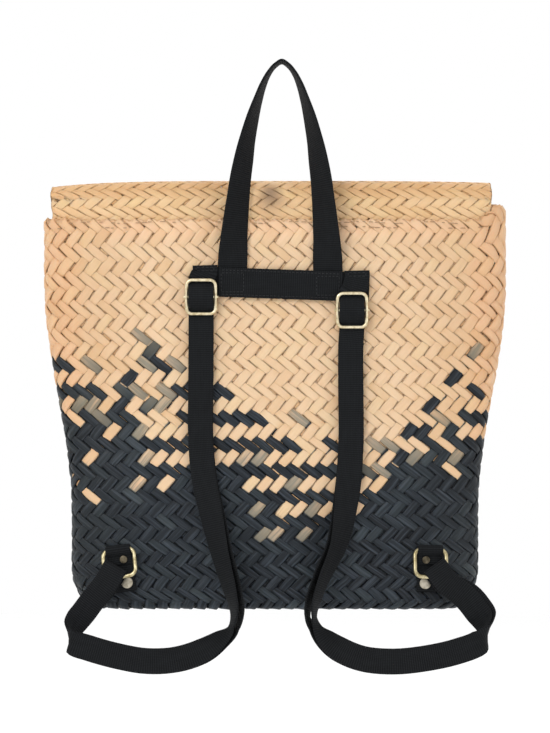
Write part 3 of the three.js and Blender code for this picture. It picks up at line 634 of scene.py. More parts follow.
def basket_dye(family, strip, index, k, cell, across):
    climbs_right = family == "right"
    cell_row = 4.0 * cell + (0.5 if climbs_right else -1.5)
    sign = 0.5 - LEAN if climbs_right else -(0.5 + LEAN)
    turn = turn_from_middle(index + sign * cell_row)
    flat = fold_to_back(turn)
    rise = row_to_rise(cell_row)
    edge = np.interp(flat, *zip(*(DYE_RIGHT_CLIMBERS if climbs_right else DYE_LEFT_CLIMBERS)))
    seed = 21 if climbs_right else 23
    ragged = (scatter(strip, seed) - 0.5) * 7.0 + (scatter(strip, cell, seed + 1) - 0.5) * 5.0
    dyed = np.clip((edge + ragged - rise) / 6.0 + 0.5, 0.0, 1.0)
    back = np.abs(turn) < BACK_REACH
    for x, z, side, amount in ODD_CELLS:
        if side == family:
            away = np.where(back, np.hypot(flat - x, (rise - z) * 0.8), 1000.0)
            dyed = np.where(away < away.min() + 0.01, amount, dyed)
    streak = (k - cell_row) * -0.05
    dyed = np.where((dyed > 0.1) & (dyed < 0.9), dyed + streak, dyed)
    return np.repeat(dyed[..., None], across, axis=-1)


print("dye tables:", len(DYE_LEFT_CLIMBERS), len(DYE_RIGHT_CLIMBERS), "odd cells:", len(ODD_CELLS))


# %% Weave the basket
def edge_bulge(column, row):
    """Strips stand prouder where they turn: under the rim, round the sides and at the base edge."""
    turn = np.abs(turn_from_middle(column))
    rim = 1.0 * ease(row, RIM_ROW - 3.5, RIM_ROW - 1.0) * (1.0 - ease(row, RIM_ROW - 0.6, RIM_ROW))
    sides = 2.6 * ease(turn, 165.0, 190.0) * (1.0 - ease(turn, 254.0, 279.0))
    base_edge = 3.0 * np.exp(-(row / 1.6) ** 2)
    return 1.0 + np.maximum(np.maximum(rim, sides), base_edge)


def basket_side_shade(column, row):
    """Painted shade, a little browner towards the sides, which turn from the light, and over the front.
    """
    turn = np.abs(turn_from_middle(column))
    return 0.34 * ease(turn, 90.0, 200.0)


for side in ("right", "left"):
    laid = lay_strips(side, range(AROUND), -5.0, LAST_ROW - 0.3, basket_surface, AROUND,
                      dye=basket_dye, bulge=edge_bulge, shade_and_patch=basket_side_shade)
    points, faces, uvs, values = laid
    piece = mesh_piece("basket_strips_" + side, points, faces, basket_straw, uvs, values)
    settle(piece, "straw", "woven_body")
    print(piece.name, "triangles:", triangles(piece))

# %% [markdown]
# Such baskets are plaited double, so behind the small gaps lies more straw and not daylight. A plain
# sheet just inside the strips stands for that inner layer, dyed to the same edge. It has two faces,
# joined at the top and the bottom.

# %% The inner layer
INNER_ROWS = 45
INNER_COLUMNS = 180
INNER_DEPTHS = (-0.72, -1.12)


def inner_layer():
    rows = np.linspace(0.0, RIM_ROW - 1.5, INNER_ROWS)
    across = np.arange(INNER_COLUMNS) * AROUND / float(INNER_COLUMNS) + FIRST_COLUMN
    column, row = np.meshgrid(across, np.concatenate([rows, rows[::-1]]))
    depth = np.repeat(INNER_DEPTHS, INNER_ROWS * INNER_COLUMNS)
    points = basket_surface.place(column.ravel(), row.ravel(), depth)
    flat = fold_to_back(turn_from_middle(column))
    edge = [np.interp(flat, *zip(*table)) for table in (DYE_LEFT_CLIMBERS, DYE_RIGHT_CLIMBERS)]
    dyed = np.clip(((edge[0] + edge[1]) / 2 - row_to_rise(row)) / 10.0 + 0.7, 0.0, 1.0)
    faces = []
    for i in range(2 * INNER_ROWS):
        here, above = i * INNER_COLUMNS, (i + 1) % (2 * INNER_ROWS) * INNER_COLUMNS
        for j in range(INNER_COLUMNS):
            n = (j + 1) % INNER_COLUMNS
            faces.append((here + j, here + n, above + n, above + j))
    uvs = np.stack([column.ravel() * PITCH * MM, row.ravel() * 0.005], axis=1)
    ones = np.ones(column.size)
    # The sheet takes a little of the painted tuck shade too.
    values = {"tone": 0.3 * ones, "tuck": 0.3 * ones, "dye": dyed.ravel()}
    return mesh_piece("basket_inner_layer", points, faces, basket_straw, uvs, values)


settle(inner_layer(), "straw", "woven_body")
print("inner layer made")

# %% [markdown]
# The base is woven in the same way, flat, and its strips end under the turned-up edge. It lies a
# little above the wall's turned strips.

# %% Weave the base
BASE_COURSE = 5.2
BASE_LIFT = 1.7
BASE_INSET = 13.0


def base_surface():
    x = np.linspace(-190.0, 190.0, 90)
    y = np.linspace(-75.0, 75.0, 40)
    grid = np.zeros((len(y), len(x), 3))
    grid[..., 0] = x[None, :]
    grid[..., 1] = -y[:, None]
    grid[..., 2] = WALL / 2 + BASE_LIFT
    return Surface(to_frame(grid), y / BASE_COURSE, x / PITCH, closed=False)


def inside_base(column, row):
    half_width, half_depth, square = section(0.0, BASE_INSET)
    x, y = column * PITCH, row * BASE_COURSE
    reach = (np.abs(x / half_width) ** square + np.abs(y / half_depth) ** square) ** (1.0 / square)
    shrink = np.where(reach > 1.0, 1.0 / np.maximum(reach, 1e-6), 1.0)
    return x * shrink / PITCH, y * shrink / BASE_COURSE


def constant_dye(family, strip, index, k, cell, across):
    return np.ones(index.shape + (across,))


base = base_surface()
for side in ("right", "left"):
    points, faces, uvs, values = lay_strips(side, range(-19, 20), -9.0, 9.0, base, 0,
                                            dye=constant_dye, squeeze=inside_base)
    piece = mesh_piece("base_strips_" + side, points, faces, basket_straw, uvs, values)
    settle(piece, "straw", "woven_body")
print("base woven")

# %% [markdown]
# ## The flap
# A natural straw sheet sewn inside the back rim. It rises from the seam, folds over the mouth and hangs
# down the front. The same strips follow its path, and their ends are squeezed to its straight edges.
# It droops at its two ends, less at the right. The path is a list of lines across the flap: depth,
# height, inset from the wall, how far it straightens the wall's curve, and share of the droop.

# %% The flap's surface
FLAP_HALF = 188.0
FLAP_SHIFT = -3.3
FLAP_RISE = 34.0
FLAP_FOLD = 15.0
FLAP_DROP = 125.0
FLAP_CORNER = 22.0
FLAP_DROOP = (5.0, 1.5)
FLAP_FLAT = 0.6
FLAP_SEAM = 15.0
FLAP_CLEAR = 0.8


def flap_path():
    inside = WALL + SEAT + WALL / 2
    outside = -SEAT - WALL / 2 - FLAP_CLEAR
    top = HEIGHT + FLAP_RISE
    back = -float(wall_depth(0.0, HEIGHT, inside))
    front = float(wall_depth(0.0, HEIGHT, outside))
    rows = []
    for z in np.linspace(HEIGHT - FLAP_SEAM, top - FLAP_FOLD, 13):
        rows.append((back, z, inside, float(ease(z, HEIGHT, top)) * FLAP_FLAT, 0.0))
    for degrees in np.linspace(180.0, 90.0, 13)[1:]:
        c, s = math.cos(math.radians(degrees)), math.sin(math.radians(degrees))
        y, z = back + FLAP_FOLD + FLAP_FOLD * c, top - FLAP_FOLD + FLAP_FOLD * s
        rows.append((y, z, inside, FLAP_FLAT, s))
    for share in np.linspace(0.0, 1.0, 9)[1:-1]:
        inset = blend(inside, outside, share)
        rows.append((blend(back + FLAP_FOLD, front - FLAP_FOLD, share), top, inset, FLAP_FLAT, 1.0))
    for degrees in np.linspace(90.0, 0.0, 13):
        c, s = math.cos(math.radians(degrees)), math.sin(math.radians(degrees))
        y, z = front - FLAP_FOLD + FLAP_FOLD * c, top - FLAP_FOLD + FLAP_FOLD * s
        rows.append((y, z, outside, FLAP_FLAT, s))
    for share in np.linspace(0.0, 1.0, 33)[1:]:
        z = top - FLAP_FOLD - FLAP_DROP * share
        relax = FLAP_FLAT * (1.0 - float(ease(share * 8, 0.0, 3.0)))
        rows.append((float(wall_depth(0.0, z, outside)), z, outside, relax, 0.0))
    return rows


def flap_grid():
    across = np.linspace(-1.0, 1.0, 121)
    grid, lengths, total, before = [], [], 0.0, None
    for y, z, inset, relax, droop in flap_path():
        x = FLAP_SHIFT + across * FLAP_HALF
        curve = wall_depth(x, z, inset) / wall_depth(0.0, z, inset)
        sink = np.where(across < 0, FLAP_DROOP[0], FLAP_DROOP[1]) * across ** 4
        line = np.stack([x, y * blend(curve, 1.0, relax), z - droop * sink], axis=1)
        if before is not None:
            total += math.hypot(y - before[0], z - before[1])
        before = (y, z)
        grid.append(line)
        lengths.append(total)
    return np.array(grid), np.array(lengths), x


flap_points, flap_lengths, flap_x = flap_grid()
FLAP_ROW = 4.1
FLAP_PHASE = 1.13
flap_surface = Surface(to_frame(flap_points), flap_lengths / FLAP_ROW + FLAP_PHASE, flap_x / PITCH,
                       closed=False)
FLAP_LONG = float(flap_lengths[-1])
print("flap length:", round(FLAP_LONG, 1), "mm")


# %% Weave the flap
def inside_flap(column, row):
    x, along = column * PITCH - FLAP_SHIFT, (row - FLAP_PHASE) * FLAP_ROW
    near_edge = np.clip(FLAP_CORNER - (FLAP_LONG - along), 0.0, FLAP_CORNER)
    rounding = FLAP_CORNER - np.sqrt(FLAP_CORNER ** 2 - near_edge ** 2)
    half = FLAP_HALF - rounding
    waver = 0.7 * np.sin(along * 0.21) + 0.5 * np.sin(along * 0.53)
    over = np.abs(x) - (half - 1.0 + waver)
    x = np.where(over > 0, np.sign(x) * (half - 1.0 + waver + 0.8 * np.tanh(over / 6.0)), x)
    along = np.clip(along, 0.0, FLAP_LONG)
    return (x + FLAP_SHIFT) / PITCH, along / FLAP_ROW + FLAP_PHASE


def flap_fold_shade_and_patch(column, row):
    """Painted shade browns the fold, turned from the light. Below zero is the soft grey patch inside the
    handle.
    """
    along = (row - FLAP_PHASE) * FLAP_ROW
    fold = ease(along, 31.0, 40.0) * (1.0 - ease(along, 95.0, 125.0))
    patch = np.exp(-((column * PITCH + 4.0) / 12.0) ** 2 - ((along - 37.0) / 13.0) ** 2)
    return 0.40 * fold * (1.0 - patch) - 0.95 * patch


flap_rows = FLAP_LONG / FLAP_ROW + FLAP_PHASE
for side in ("right", "left"):
    reach = range(-42, 17) if side == "right" else range(-16, 56)
    points, faces, uvs, values = lay_strips(side, reach, FLAP_PHASE, flap_rows, flap_surface, 0,
                                            squeeze=inside_flap, shade_and_patch=flap_fold_shade_and_patch)
    piece = mesh_piece("flap_strips_" + side, points, faces, flap_straw, uvs, values)
    settle(piece, "straw", "flap")
    print(piece.name, "triangles:", triangles(piece))

# %% [markdown]
# ## Webbing
# The straps, the handle, the band and the tabs are flat black webbing with a tight ribbed weave and
# firm edges. Each is swept along stations that give its place and the direction of its width, which is
# how a flat band keeps its twist. Its UV map runs along and across it in metres, for the weave.

# %% Webbing material
WARP_PITCH = 0.0013
RIB_PITCH = 0.0018
# Painted shade and highlight: these tones follow the rib height, so the webbing's own near-black is
# darker in the rib valleys and lighter on the crests.
WEBBING_TONES_AND_RIB_SHADE = [
    (0.0, (0.0004, 0.0005, 0.0006)), (0.5, (0.0028, 0.0032, 0.0038)), (1.0, (0.019, 0.0205, 0.0225))]
WORN_WEBBING = (0.020, 0.022, 0.0245)


def webbing_material():
    material, tree, shader = new_material("black_webbing")
    coordinates = tree.nodes.new("ShaderNodeTexCoord")
    split = tree.nodes.new("ShaderNodeSeparateXYZ")
    tree.links.new(coordinates.outputs["UV"], split.inputs["Vector"])
    along, across = split.outputs["X"], split.outputs["Y"]
    warp = maths(tree, "SINE", maths(tree, "MULTIPLY", across, 2 * math.pi / WARP_PITCH))
    ribs = maths(tree, "SINE", maths(tree, "MULTIPLY", along, 2 * math.pi / RIB_PITCH))
    weave = maths(tree, "MULTIPLY_ADD", ribs, 0.65, maths(tree, "MULTIPLY", warp, 0.35))
    fuzz = noise(tree, uv_pattern(tree, (900.0, 900.0, 1.0)), 1.0, 3.0, 0.6)
    wear = noise(tree, uv_pattern(tree, (60.0, 240.0, 1.0)), 1.0, 3.0, 0.6)
    height = maths(tree, "ADD", weave, maths(tree, "MULTIPLY", fuzz, 1.2))
    # Painted shade and highlight on the ribs, from the weave's height.
    colour = ramp(tree, maths(tree, "MULTIPLY_ADD", weave, 0.35, 0.5), WEBBING_TONES_AND_RIB_SHADE)
    colour = mix_colours(tree, maths(tree, "MULTIPLY", wear, 0.35), colour, WORN_WEBBING)
    tree.links.new(colour, shader.inputs["Base Color"])
    shader.inputs["Roughness"].default_value = 0.78
    shader.inputs["Specular IOR Level"].default_value = 0.10
    shader.inputs["Sheen Weight"].default_value = 0.02
    shader.inputs["Sheen Roughness"].default_value = 0.4
    tree.links.new(bump(tree, height, 0.00018, 0.8), shader.inputs["Normal"])
    return material


webbing = webbing_material()
print("webbing ready")


# %% Sweep a ribbon
def catmull(points, steps):
    """Points on a centripetal curve through the stations, with the given steps to each span."""
    p = np.asarray(points, float)
    p = np.concatenate([[2 * p[0] - p[1]], p, [2 * p[-1] - p[-2]]])
    result = []
    for i in range(len(p) - 3):
        q = p[i:i + 4]
        gap = np.sqrt(np.maximum(np.linalg.norm(np.diff(q, axis=0), axis=1), 1e-6))
        t = np.concatenate([[0.0], np.cumsum(gap)])
        u = np.linspace(t[1], t[2], steps, endpoint=False)[:, None]
        a1 = (t[1] - u) / (t[1] - t[0]) * q[0] + (u - t[0]) / (t[1] - t[0]) * q[1]
        a2 = (t[2] - u) / (t[2] - t[1]) * q[1] + (u - t[1]) / (t[2] - t[1]) * q[2]
        a3 = (t[3] - u) / (t[3] - t[2]) * q[2] + (u - t[2]) / (t[3] - t[2]) * q[3]
        b1 = (t[2] - u) / (t[2] - t[0]) * a1 + (u - t[0]) / (t[2] - t[0]) * a2
        b2 = (t[3] - u) / (t[3] - t[1]) * a2 + (u - t[1]) / (t[3] - t[1]) * a3
        result.append((t[2] - u) / (t[2] - t[1]) * b1 + (u - t[1]) / (t[2] - t[1]) * b2)
    result.append(p[-2][None, :])
    return np.concatenate(result)


RIBBON_SECTION = [
    (-0.50, 0.0), (-0.488, 0.36), (-0.45, 0.5), (-0.15, 0.5), (0.15, 0.5), (0.45, 0.5), (0.488, 0.36),
    (0.50, 0.0), (0.488, -0.36), (0.45, -0.5), (0.15, -0.5), (-0.15, -0.5), (-0.45, -0.5),
    (-0.488, -0.36)]


def ribbon(name, places, edges, width, thickness, steps, material, matrix=None):
    centre = catmull(places, steps)
    spans = len(places) - 1
    share = np.linspace(0.0, spans, spans * steps + 1)
    table = np.asarray(edges, float)
    edge = np.stack([np.interp(share, np.arange(spans + 1), table[:, i]) for i in range(3)], axis=1)
    along = np.gradient(centre, axis=0)
    along /= np.linalg.norm(along, axis=1, keepdims=True)
    edge -= along * np.sum(edge * along, axis=1, keepdims=True)
    edge /= np.linalg.norm(edge, axis=1, keepdims=True)
    out = np.cross(along, edge)
    length = np.concatenate([[0.0], np.cumsum(np.linalg.norm(np.diff(centre, axis=0), axis=1))])
    points, uvs = [], []
    for across, depth in RIBBON_SECTION:
        points.append(centre + edge * across * width + out * depth * thickness)
        uvs.append(np.stack([length * MM, np.full_like(length, across * width * MM)], axis=1))
    ring = len(RIBBON_SECTION)
    points = np.stack(points, axis=1).reshape(-1, 3) * MM
    uvs = np.stack(uvs, axis=1).reshape(-1, 2)
    if matrix is not None:
        points = np.array([matrix @ Vector(p) for p in points])
    faces = []
    for i in range(len(centre) - 1):
        for j in range(ring):
            n = (j + 1) % ring
            faces.append((i * ring + j, (i + 1) * ring + j, (i + 1) * ring + n, i * ring + n))
    faces.append(tuple(range(ring)))
    faces.append(tuple(range((len(centre) - 1) * ring, len(centre) * ring))[::-1])
    return mesh_piece(name, points, faces, material, uvs)


print("ribbon helper ready")

# %% [markdown]
# ## Shoulder straps
# Each strap is one piece of webbing: its end is sewn on the band, it runs over the slider's bar, down,
# round the bottom ring and back up, and is wrapped round the bar. A station is a place in the frame, in
# millimetres, and the direction across the webbing, as on the solid straps. The real loops hang a little
# higher and closer in, so the lowest bends are then drawn up, by lifts and a tuck given for each strap.

# %% Strap stations
LEFT_STRAP = [
    (-65, -8.3, -172.5, 1, 0, 0), (-65, -8.3, -178.3, 1, 0, 0), (-66.8, -9.9, -181.6, 1, 0, 0),
    (-68.3, -9.9, -185.2, 1, 0, 0), (-68.3, -10.6, -188, 1, 0, 0), (-68.3, -14.8, -193.5, 1, 0, 0),
    (-68.3, -16.9, -199.5, 1, 0, 0), (-68.3, -14.8, -205.5, 1, 0, 0), (-68.3, -10.6, -211, 1, 0, 0),
    (-68.3, -9.9, -213.9, 1, 0, 0), (-68.2, -13.3, -231.9, 1, 0, 0), (-68.2, -18.4, -269.5, 1, 0, 0),
    (-68, -26.4, -320.4, 1, 0, 0), (-64.7, -31.7, -354.5, 0.99, -0.17, 0),
    (-60.5, -35.3, -374.2, 0.94, -0.34, 0), (-51.7, -39.3, -414.4, 0.71, -0.71, 0),
    (-43.4, -43.7, -444.2, 0.53, -0.85, 0), (-39.7, -45.1, -466.7, 0.31, -0.95, 0),
    (-42.3, -46.6, -484.4, 0.1, -0.99, -0.1), (-51.5, -50.2, -494.9, 0.29, -0.82, -0.49),
    (-65.3, -53.5, -501.6, 0.23, -0.42, -0.88), (-86.5, -55.4, -505.8, 0.1, -0.14, -0.98),
    (-111.9, -56.4, -507.3, 0, 0, -1), (-137.5, -56.8, -503.3, -0.2, 0, -0.98),
    (-163.1, -56.8, -496.6, -0.22, 0, -0.98), (-178.8, -54.7, -491.3, -0.1, 0.1, -0.99),
    (-186.3, -46.7, -483.3, 0.25, 0.48, -0.84), (-180.6, -39, -473.8, 0.63, 0.26, -0.73),
    (-171.6, -35.9, -465.6, 0.8, 0, -0.6), (-158.9, -33.7, -453.5, 0.75, 0, -0.66),
    (-146, -32.3, -439.9, 0.87, -0.23, -0.45), (-139.4, -29.7, -428.5, 0.87, -0.23, -0.45),
    (-138.7, -29.8, -427.1, 0.87, -0.23, -0.45), (-138.3, -30.6, -426, 0.87, -0.23, -0.45),
    (-138.3, -31.8, -425.2, 0.87, -0.23, -0.45), (-138.6, -33.3, -425.2, 0.87, -0.23, -0.45),
    (-139.2, -34.5, -425.8, 0.87, -0.23, -0.45), (-140, -35.1, -426.9, 0.87, -0.23, -0.45),
    (-146.6, -37.7, -438.3, 0.87, -0.23, -0.45), (-158.6, -37.6, -453.2, 0.75, 0, -0.66),
    (-171.4, -38.6, -465.3, 0.8, 0, -0.6), (-179.4, -41.1, -473.5, 0.63, 0.26, -0.73),
    (-184, -47, -482.8, 0.25, 0.48, -0.84), (-177.9, -52.6, -491.2, -0.1, 0.1, -0.99),
    (-163, -54.5, -496.6, -0.22, 0, -0.98), (-137.5, -54.5, -503.3, -0.2, 0, -0.98),
    (-112, -54.1, -507.3, 0, 0, -1), (-86.6, -53.1, -506.2, 0.1, -0.14, -0.98),
    (-65.3, -51, -502.8, 0.23, -0.42, -0.88), (-50.3, -48.3, -497.4, 0.29, -0.82, -0.49),
    (-38, -45.9, -486.5, 0.1, -0.99, -0.1), (-34.6, -43.4, -466.8, 0.31, -0.95, 0),
    (-38.9, -40.8, -443.4, 0.53, -0.85, 0), (-48.4, -36, -413.9, 0.71, -0.71, 0),
    (-59.2, -31.9, -374.3, 0.94, -0.34, 0), (-64.2, -29, -354.8, 0.99, -0.17, 0),
    (-68, -24, -320.7, 1, 0, 0), (-68.2, -16.1, -269.9, 1, 0, 0), (-68.2, -10.9, -232.2, 1, 0, 0),
    (-68.3, -8, -213.9, 1, 0, 0), (-68.3, -10.4, -199.5, 1, 0, 0), (-68.3, -10.7, -198.4, 1, 0, 0),
    (-68.3, -11.6, -197.5, 1, 0, 0), (-68.3, -12.7, -197.2, 1, 0, 0), (-68.3, -13.9, -197.5, 1, 0, 0),
    (-68.3, -14.7, -198.4, 1, 0, 0), (-68.3, -15, -199.5, 1, 0, 0), (-68.3, -15, -202.7, 1, 0, 0)]
RIGHT_STRAP = [
    (63.6, -8.3, -177, 1, 0, 0), (63.6, -8.3, -182.7, 1, 0, 0), (61.2, -10.9, -192.8, 1, 0, 0),
    (59.2, -10.9, -196.4, 1, 0, 0), (59.2, -11.6, -199.3, 1, 0, 0), (59.2, -15.8, -204.7, 1, 0, 0),
    (59.2, -17.9, -210.7, 1, 0, 0), (59.2, -15.8, -216.8, 1, 0, 0), (59.2, -11.6, -222.2, 1, 0, 0),
    (59.2, -10.9, -225.1, 1, 0, 0), (58.2, -14.4, -241.1, 1, 0, 0), (58, -19.7, -277.9, 1, 0, 0),
    (58, -26.4, -320.4, 1, 0, 0), (56, -31.6, -352.8, 0.99, 0.14, 0),
    (53.8, -35.2, -371.5, 0.94, 0.34, 0), (47.6, -39.2, -406, 0.71, 0.71, 0),
    (35.5, -42.9, -433.5, 0.5, 0.87, 0), (28.2, -45.3, -457.2, 0.34, 0.94, 0),
    (26.8, -46.1, -473.3, 0.17, 0.99, 0), (29.5, -47.8, -484.5, 0.23, 0.96, 0.13),
    (35.7, -50.6, -494.3, 0.39, 0.77, 0.51), (46.9, -53.4, -503, 0.38, 0.38, 0.85),
    (66.3, -55.4, -508.4, 0.15, 0.09, 0.98), (92.8, -56.4, -510.7, 0, 0, 1),
    (121.6, -56.8, -507.7, -0.15, 0, 0.99), (147.2, -56.8, -502, -0.3, 0, 0.95),
    (165.7, -54.8, -494.6, -0.28, -0.08, 0.96), (175.4, -46.8, -484.1, 0.23, -0.6, 0.76),
    (174.2, -39.1, -473, 0.62, -0.31, 0.72), (167.8, -35.9, -463, 0.81, 0, 0.59),
    (156.6, -33.7, -450.2, 0.8, 0, 0.6), (136.4, -32.2, -438.6, 0.8, 0.22, 0.55),
    (128.5, -29.6, -428, 0.8, 0.22, 0.55), (127.7, -29.7, -426.8, 0.8, 0.22, 0.55),
    (127.1, -30.5, -425.6, 0.8, 0.22, 0.55), (127, -31.8, -424.9, 0.8, 0.22, 0.55),
    (127.3, -33.3, -424.8, 0.8, 0.22, 0.55), (128, -34.4, -425.4, 0.8, 0.22, 0.55),
    (128.9, -35.1, -426.4, 0.8, 0.22, 0.55), (136.8, -37.6, -437, 0.8, 0.22, 0.55),
    (153.9, -37.6, -452.3, 0.8, 0, 0.6), (164.6, -38.6, -465.2, 0.81, 0, 0.59),
    (170.9, -41, -473.9, 0.62, -0.31, 0.72), (173.1, -46.9, -483.4, 0.23, -0.6, 0.76),
    (165, -52.5, -494.6, -0.28, -0.08, 0.96), (147.1, -54.5, -502, -0.3, 0, 0.95),
    (121.6, -54.5, -507.7, -0.15, 0, 0.99), (92.8, -54.1, -510.7, 0, 0, 1),
    (66.4, -53.1, -508.7, 0.15, 0.09, 0.98), (46.8, -51.1, -504, 0.38, 0.38, 0.85),
    (34.4, -48.7, -496.2, 0.39, 0.77, 0.51), (26.1, -46.7, -486.4, 0.23, 0.96, 0.13),
    (21.3, -45.2, -473.9, 0.17, 0.99, 0), (22.6, -43.2, -456.2, 0.34, 0.94, 0),
    (31, -40.4, -432, 0.5, 0.87, 0), (44.5, -36.1, -405.4, 0.71, 0.71, 0),
    (52.6, -31.9, -371.7, 0.94, 0.34, 0), (55.6, -28.9, -353.2, 0.99, 0.14, 0),
    (58, -24.1, -320.8, 1, 0, 0), (58, -17.3, -278.2, 1, 0, 0), (58.2, -12, -241.4, 1, 0, 0),
    (59.2, -9, -225.1, 1, 0, 0), (59.2, -11.4, -210.7, 1, 0, 0), (59.2, -11.7, -209.6, 1, 0, 0),
    (59.2, -12.6, -208.8, 1, 0, 0), (59.2, -13.7, -208.4, 1, 0, 0), (59.2, -14.9, -208.8, 1, 0, 0),
    (59.2, -15.7, -209.6, 1, 0, 0), (59.2, -16, -210.7, 1, 0, 0), (59.2, -16, -213.9, 1, 0, 0)]
print("stations:", len(LEFT_STRAP), len(RIGHT_STRAP))

# %% Sweep the straps
STRAP_WIDTH = 21.2
STRAP_THICK = 1.5
DRAWN_UP = {"left": (LEFT_STRAP, 12.0, 6.0, 10.0), "right": (RIGHT_STRAP, 12.5, 9.0, 4.5)}


def draw_up(table, inner_lift, outer_lift, tuck_in):
    """Stations with the inner bend and the rest of the loop lifted, and the outer bend tucked in."""
    stations = np.array(table, float)
    x, z = stations[:, 0].copy(), stations[:, 2].copy()
    away = np.abs(x - BASE[0])
    lift = blend(inner_lift, outer_lift, ease(away, 44.0, 75.0))
    stations[:, 2] += lift * ease(-z, 440.0, 500.0)
    tuck = tuck_in * ease(-z, 445.0, 480.0) * (1.0 - 0.6 * ease(-z, 484.0, 494.0))
    stations[:, 0] -= np.sign(x) * tuck * ease(away, 90.0, 165.0)
    return stations


for side, bends in DRAWN_UP.items():
    stations = draw_up(*bends)
    piece = ribbon("strap_" + side, stations[:, :3], stations[:, 3:], STRAP_WIDTH, STRAP_THICK, 5,
                   webbing)
    settle(piece, "webbing", "shoulder_strap_" + side)
    print(piece.name, "triangles:", triangles(piece))

# %% [markdown]
# ## Band and carry handle
# The handle's two ends lie flat on the straw and the band is sewn over them, so it stands a little
# prouder between its ends. The handle's webbing turns edge on to the back as it climbs, and folds over
# sideways at the top, where the bag hangs. A leg is given by shares of its height and of the half span,
# how far it stands out in widths, and its turn in degrees.

# %% Band
BAND_WIDTH = 25.0
BAND_THICK = 1.6
BAND_ENDS = (-69.7, 79.9)
BAND_RISE = 272.4
BAND_SLOPE = math.tan(math.radians(2.0))
LAYER_GAP = 0.2


def band_centre(x):
    return BAND_RISE - (x - sum(BAND_ENDS) / 2) * BAND_SLOPE


def on_back(x, z, proud):
    return (x, -float(wall_depth(x, z, -proud)), z)


HANDLE_WIDTH = 25.0
HANDLE_THICK = 1.9
OVER_FEET = (-48.9, 58.3)
FOOT_STEP = 2.5


def band_proud(x):
    """The band's gap to the straw: it steps up over the handle's feet."""
    left, right = OVER_FEET
    over = ease(x, left, left + FOOT_STEP) * (1.0 - ease(x, right - FOOT_STEP, right))
    return SEAT + (HANDLE_THICK + LAYER_GAP) * float(over)


band_places, band_edges = [], []
for x in np.linspace(BAND_ENDS[0], BAND_ENDS[1], 121):
    place = on_back(x, band_centre(x), band_proud(x) + BAND_THICK / 2)
    band_places.append(np.array(place) + BASE)
    band_edges.append((BAND_SLOPE, 0.0, 1.0))
band = ribbon("band", band_places, band_edges, BAND_WIDTH, BAND_THICK, 2, webbing)
settle(band, "webbing", "cross_band")
print("band:", round(BAND_ENDS[1] - BAND_ENDS[0], 1), "mm long")

# %% Carry handle
HANDLE_RISE = 177.0
HANDLE_SPAN = 40.4
HANDLE_SHIFT = (4.35, 5.8)
HANDLE_LEG = [
    (0.06, 0.99, 0.17, 8), (0.14, 0.97, 0.30, 25), (0.24, 0.93, 0.37, 35),
    (0.33, 0.89, 0.39, 42), (0.43, 0.84, 0.39, 47), (0.53, 0.77, 0.31, 53), (0.62, 0.70, 0.21, 61),
    (0.72, 0.60, 0.10, 68), (0.81, 0.49, 0.00, 76), (0.88, 0.39, -0.08, 81), (0.94, 0.27, -0.15, 86),
    (0.98, 0.14, -0.20, 89), (1.00, 0.00, -0.21, 90)]


def handle_side(sign):
    stations = []
    x = sign * HANDLE_SPAN + HANDLE_SHIFT[0]
    for down in (0.62, 0.30):
        z = band_centre(x) + BAND_WIDTH * (0.5 - down)
        stations.append((on_back(x, z, SEAT + HANDLE_THICK / 2), (-sign, 0, 0)))
    z = band_centre(x) + BAND_WIDTH / 2
    stations.append((on_back(x, z, SEAT + HANDLE_THICK / 2), (-sign, 0, 0)))
    for up, apart, out, turn in HANDLE_LEG:
        foot = band_centre(sign * HANDLE_SPAN) + BAND_WIDTH / 2
        z = blend(foot, BAND_RISE + BAND_WIDTH / 2, up) + HANDLE_RISE * up
        x = sign * HANDLE_SPAN * apart + blend(HANDLE_SHIFT[0], HANDLE_SHIFT[1], up)
        angle = math.radians(turn)
        stations.append(((x, -(MOUTH_HALF[1] + out * HANDLE_WIDTH), z),
                         (-sign * math.cos(angle), math.sin(angle), 0)))
    return stations


handle_stations = handle_side(-1) + handle_side(1)[:-1][::-1]
handle = ribbon("handle", [np.array(s[0]) + BASE for s in handle_stations],
                [s[1] for s in handle_stations], HANDLE_WIDTH, HANDLE_THICK, 5, webbing)
settle(handle, "webbing", "carry_handle")
print("handle stations:", len(handle_stations))

# %% [markdown]
# ## Ring anchors
# Low on each side a short webbing tab folds over the ring's top rail, and two rivets hold it to the
# straw. Their places are given in the anchor's own frame, on the outer face of the back: x along the
# wall, y into the bag and z up.

# %% Anchor frames
ANCHORS = {
    "left": Matrix.Translation(Vector((-135.4, -24.01, -422.4)) * MM)
    @ Matrix.Rotation(-0.0716, 4, "Z") @ Matrix.Rotation(-0.1396, 4, "Y"),
    "right": Matrix.Translation(Vector((123.8, -24.01, -422.4)) * MM)
    @ Matrix.Rotation(0.0716, 4, "Z") @ Matrix.Rotation(0.0175, 4, "Y"),
}
RING_LEAN = 0.2877
TAB_BACK = -1.1
LAYER = 1.9
WRAP = 2.85
RAIL_TOP = 11.75
RAIL_DEPTH = TAB_BACK - WRAP

rail = RAIL_TOP * math.cos(RING_LEAN)
front = TAB_BACK - LAYER
tab_line = [(front, -1.5)]
for up, out in ((0.0, 0.0), (0.48, 0.0), (0.70, 0.6)):
    tab_line.append((blend(front, RAIL_DEPTH - WRAP, out), rail * up))
for degrees in range(210, -1, -30):
    angle = math.radians(degrees)
    tab_line.append((RAIL_DEPTH + WRAP * math.cos(angle), rail + WRAP * math.sin(angle)))
tab_line += [(TAB_BACK, rail * 0.5), (TAB_BACK, 0.0), (TAB_BACK, -12.5), (TAB_BACK, -25.0)]
for side, matrix in ANCHORS.items():
    piece = ribbon("tab_" + side, [(0.0, y, z) for y, z in tab_line], [(1, 0, 0)] * len(tab_line),
                   STRAP_WIDTH, STRAP_THICK, 4, webbing, matrix)
    settle(piece, "webbing", "ring_tab_" + side)
print("tabs made")

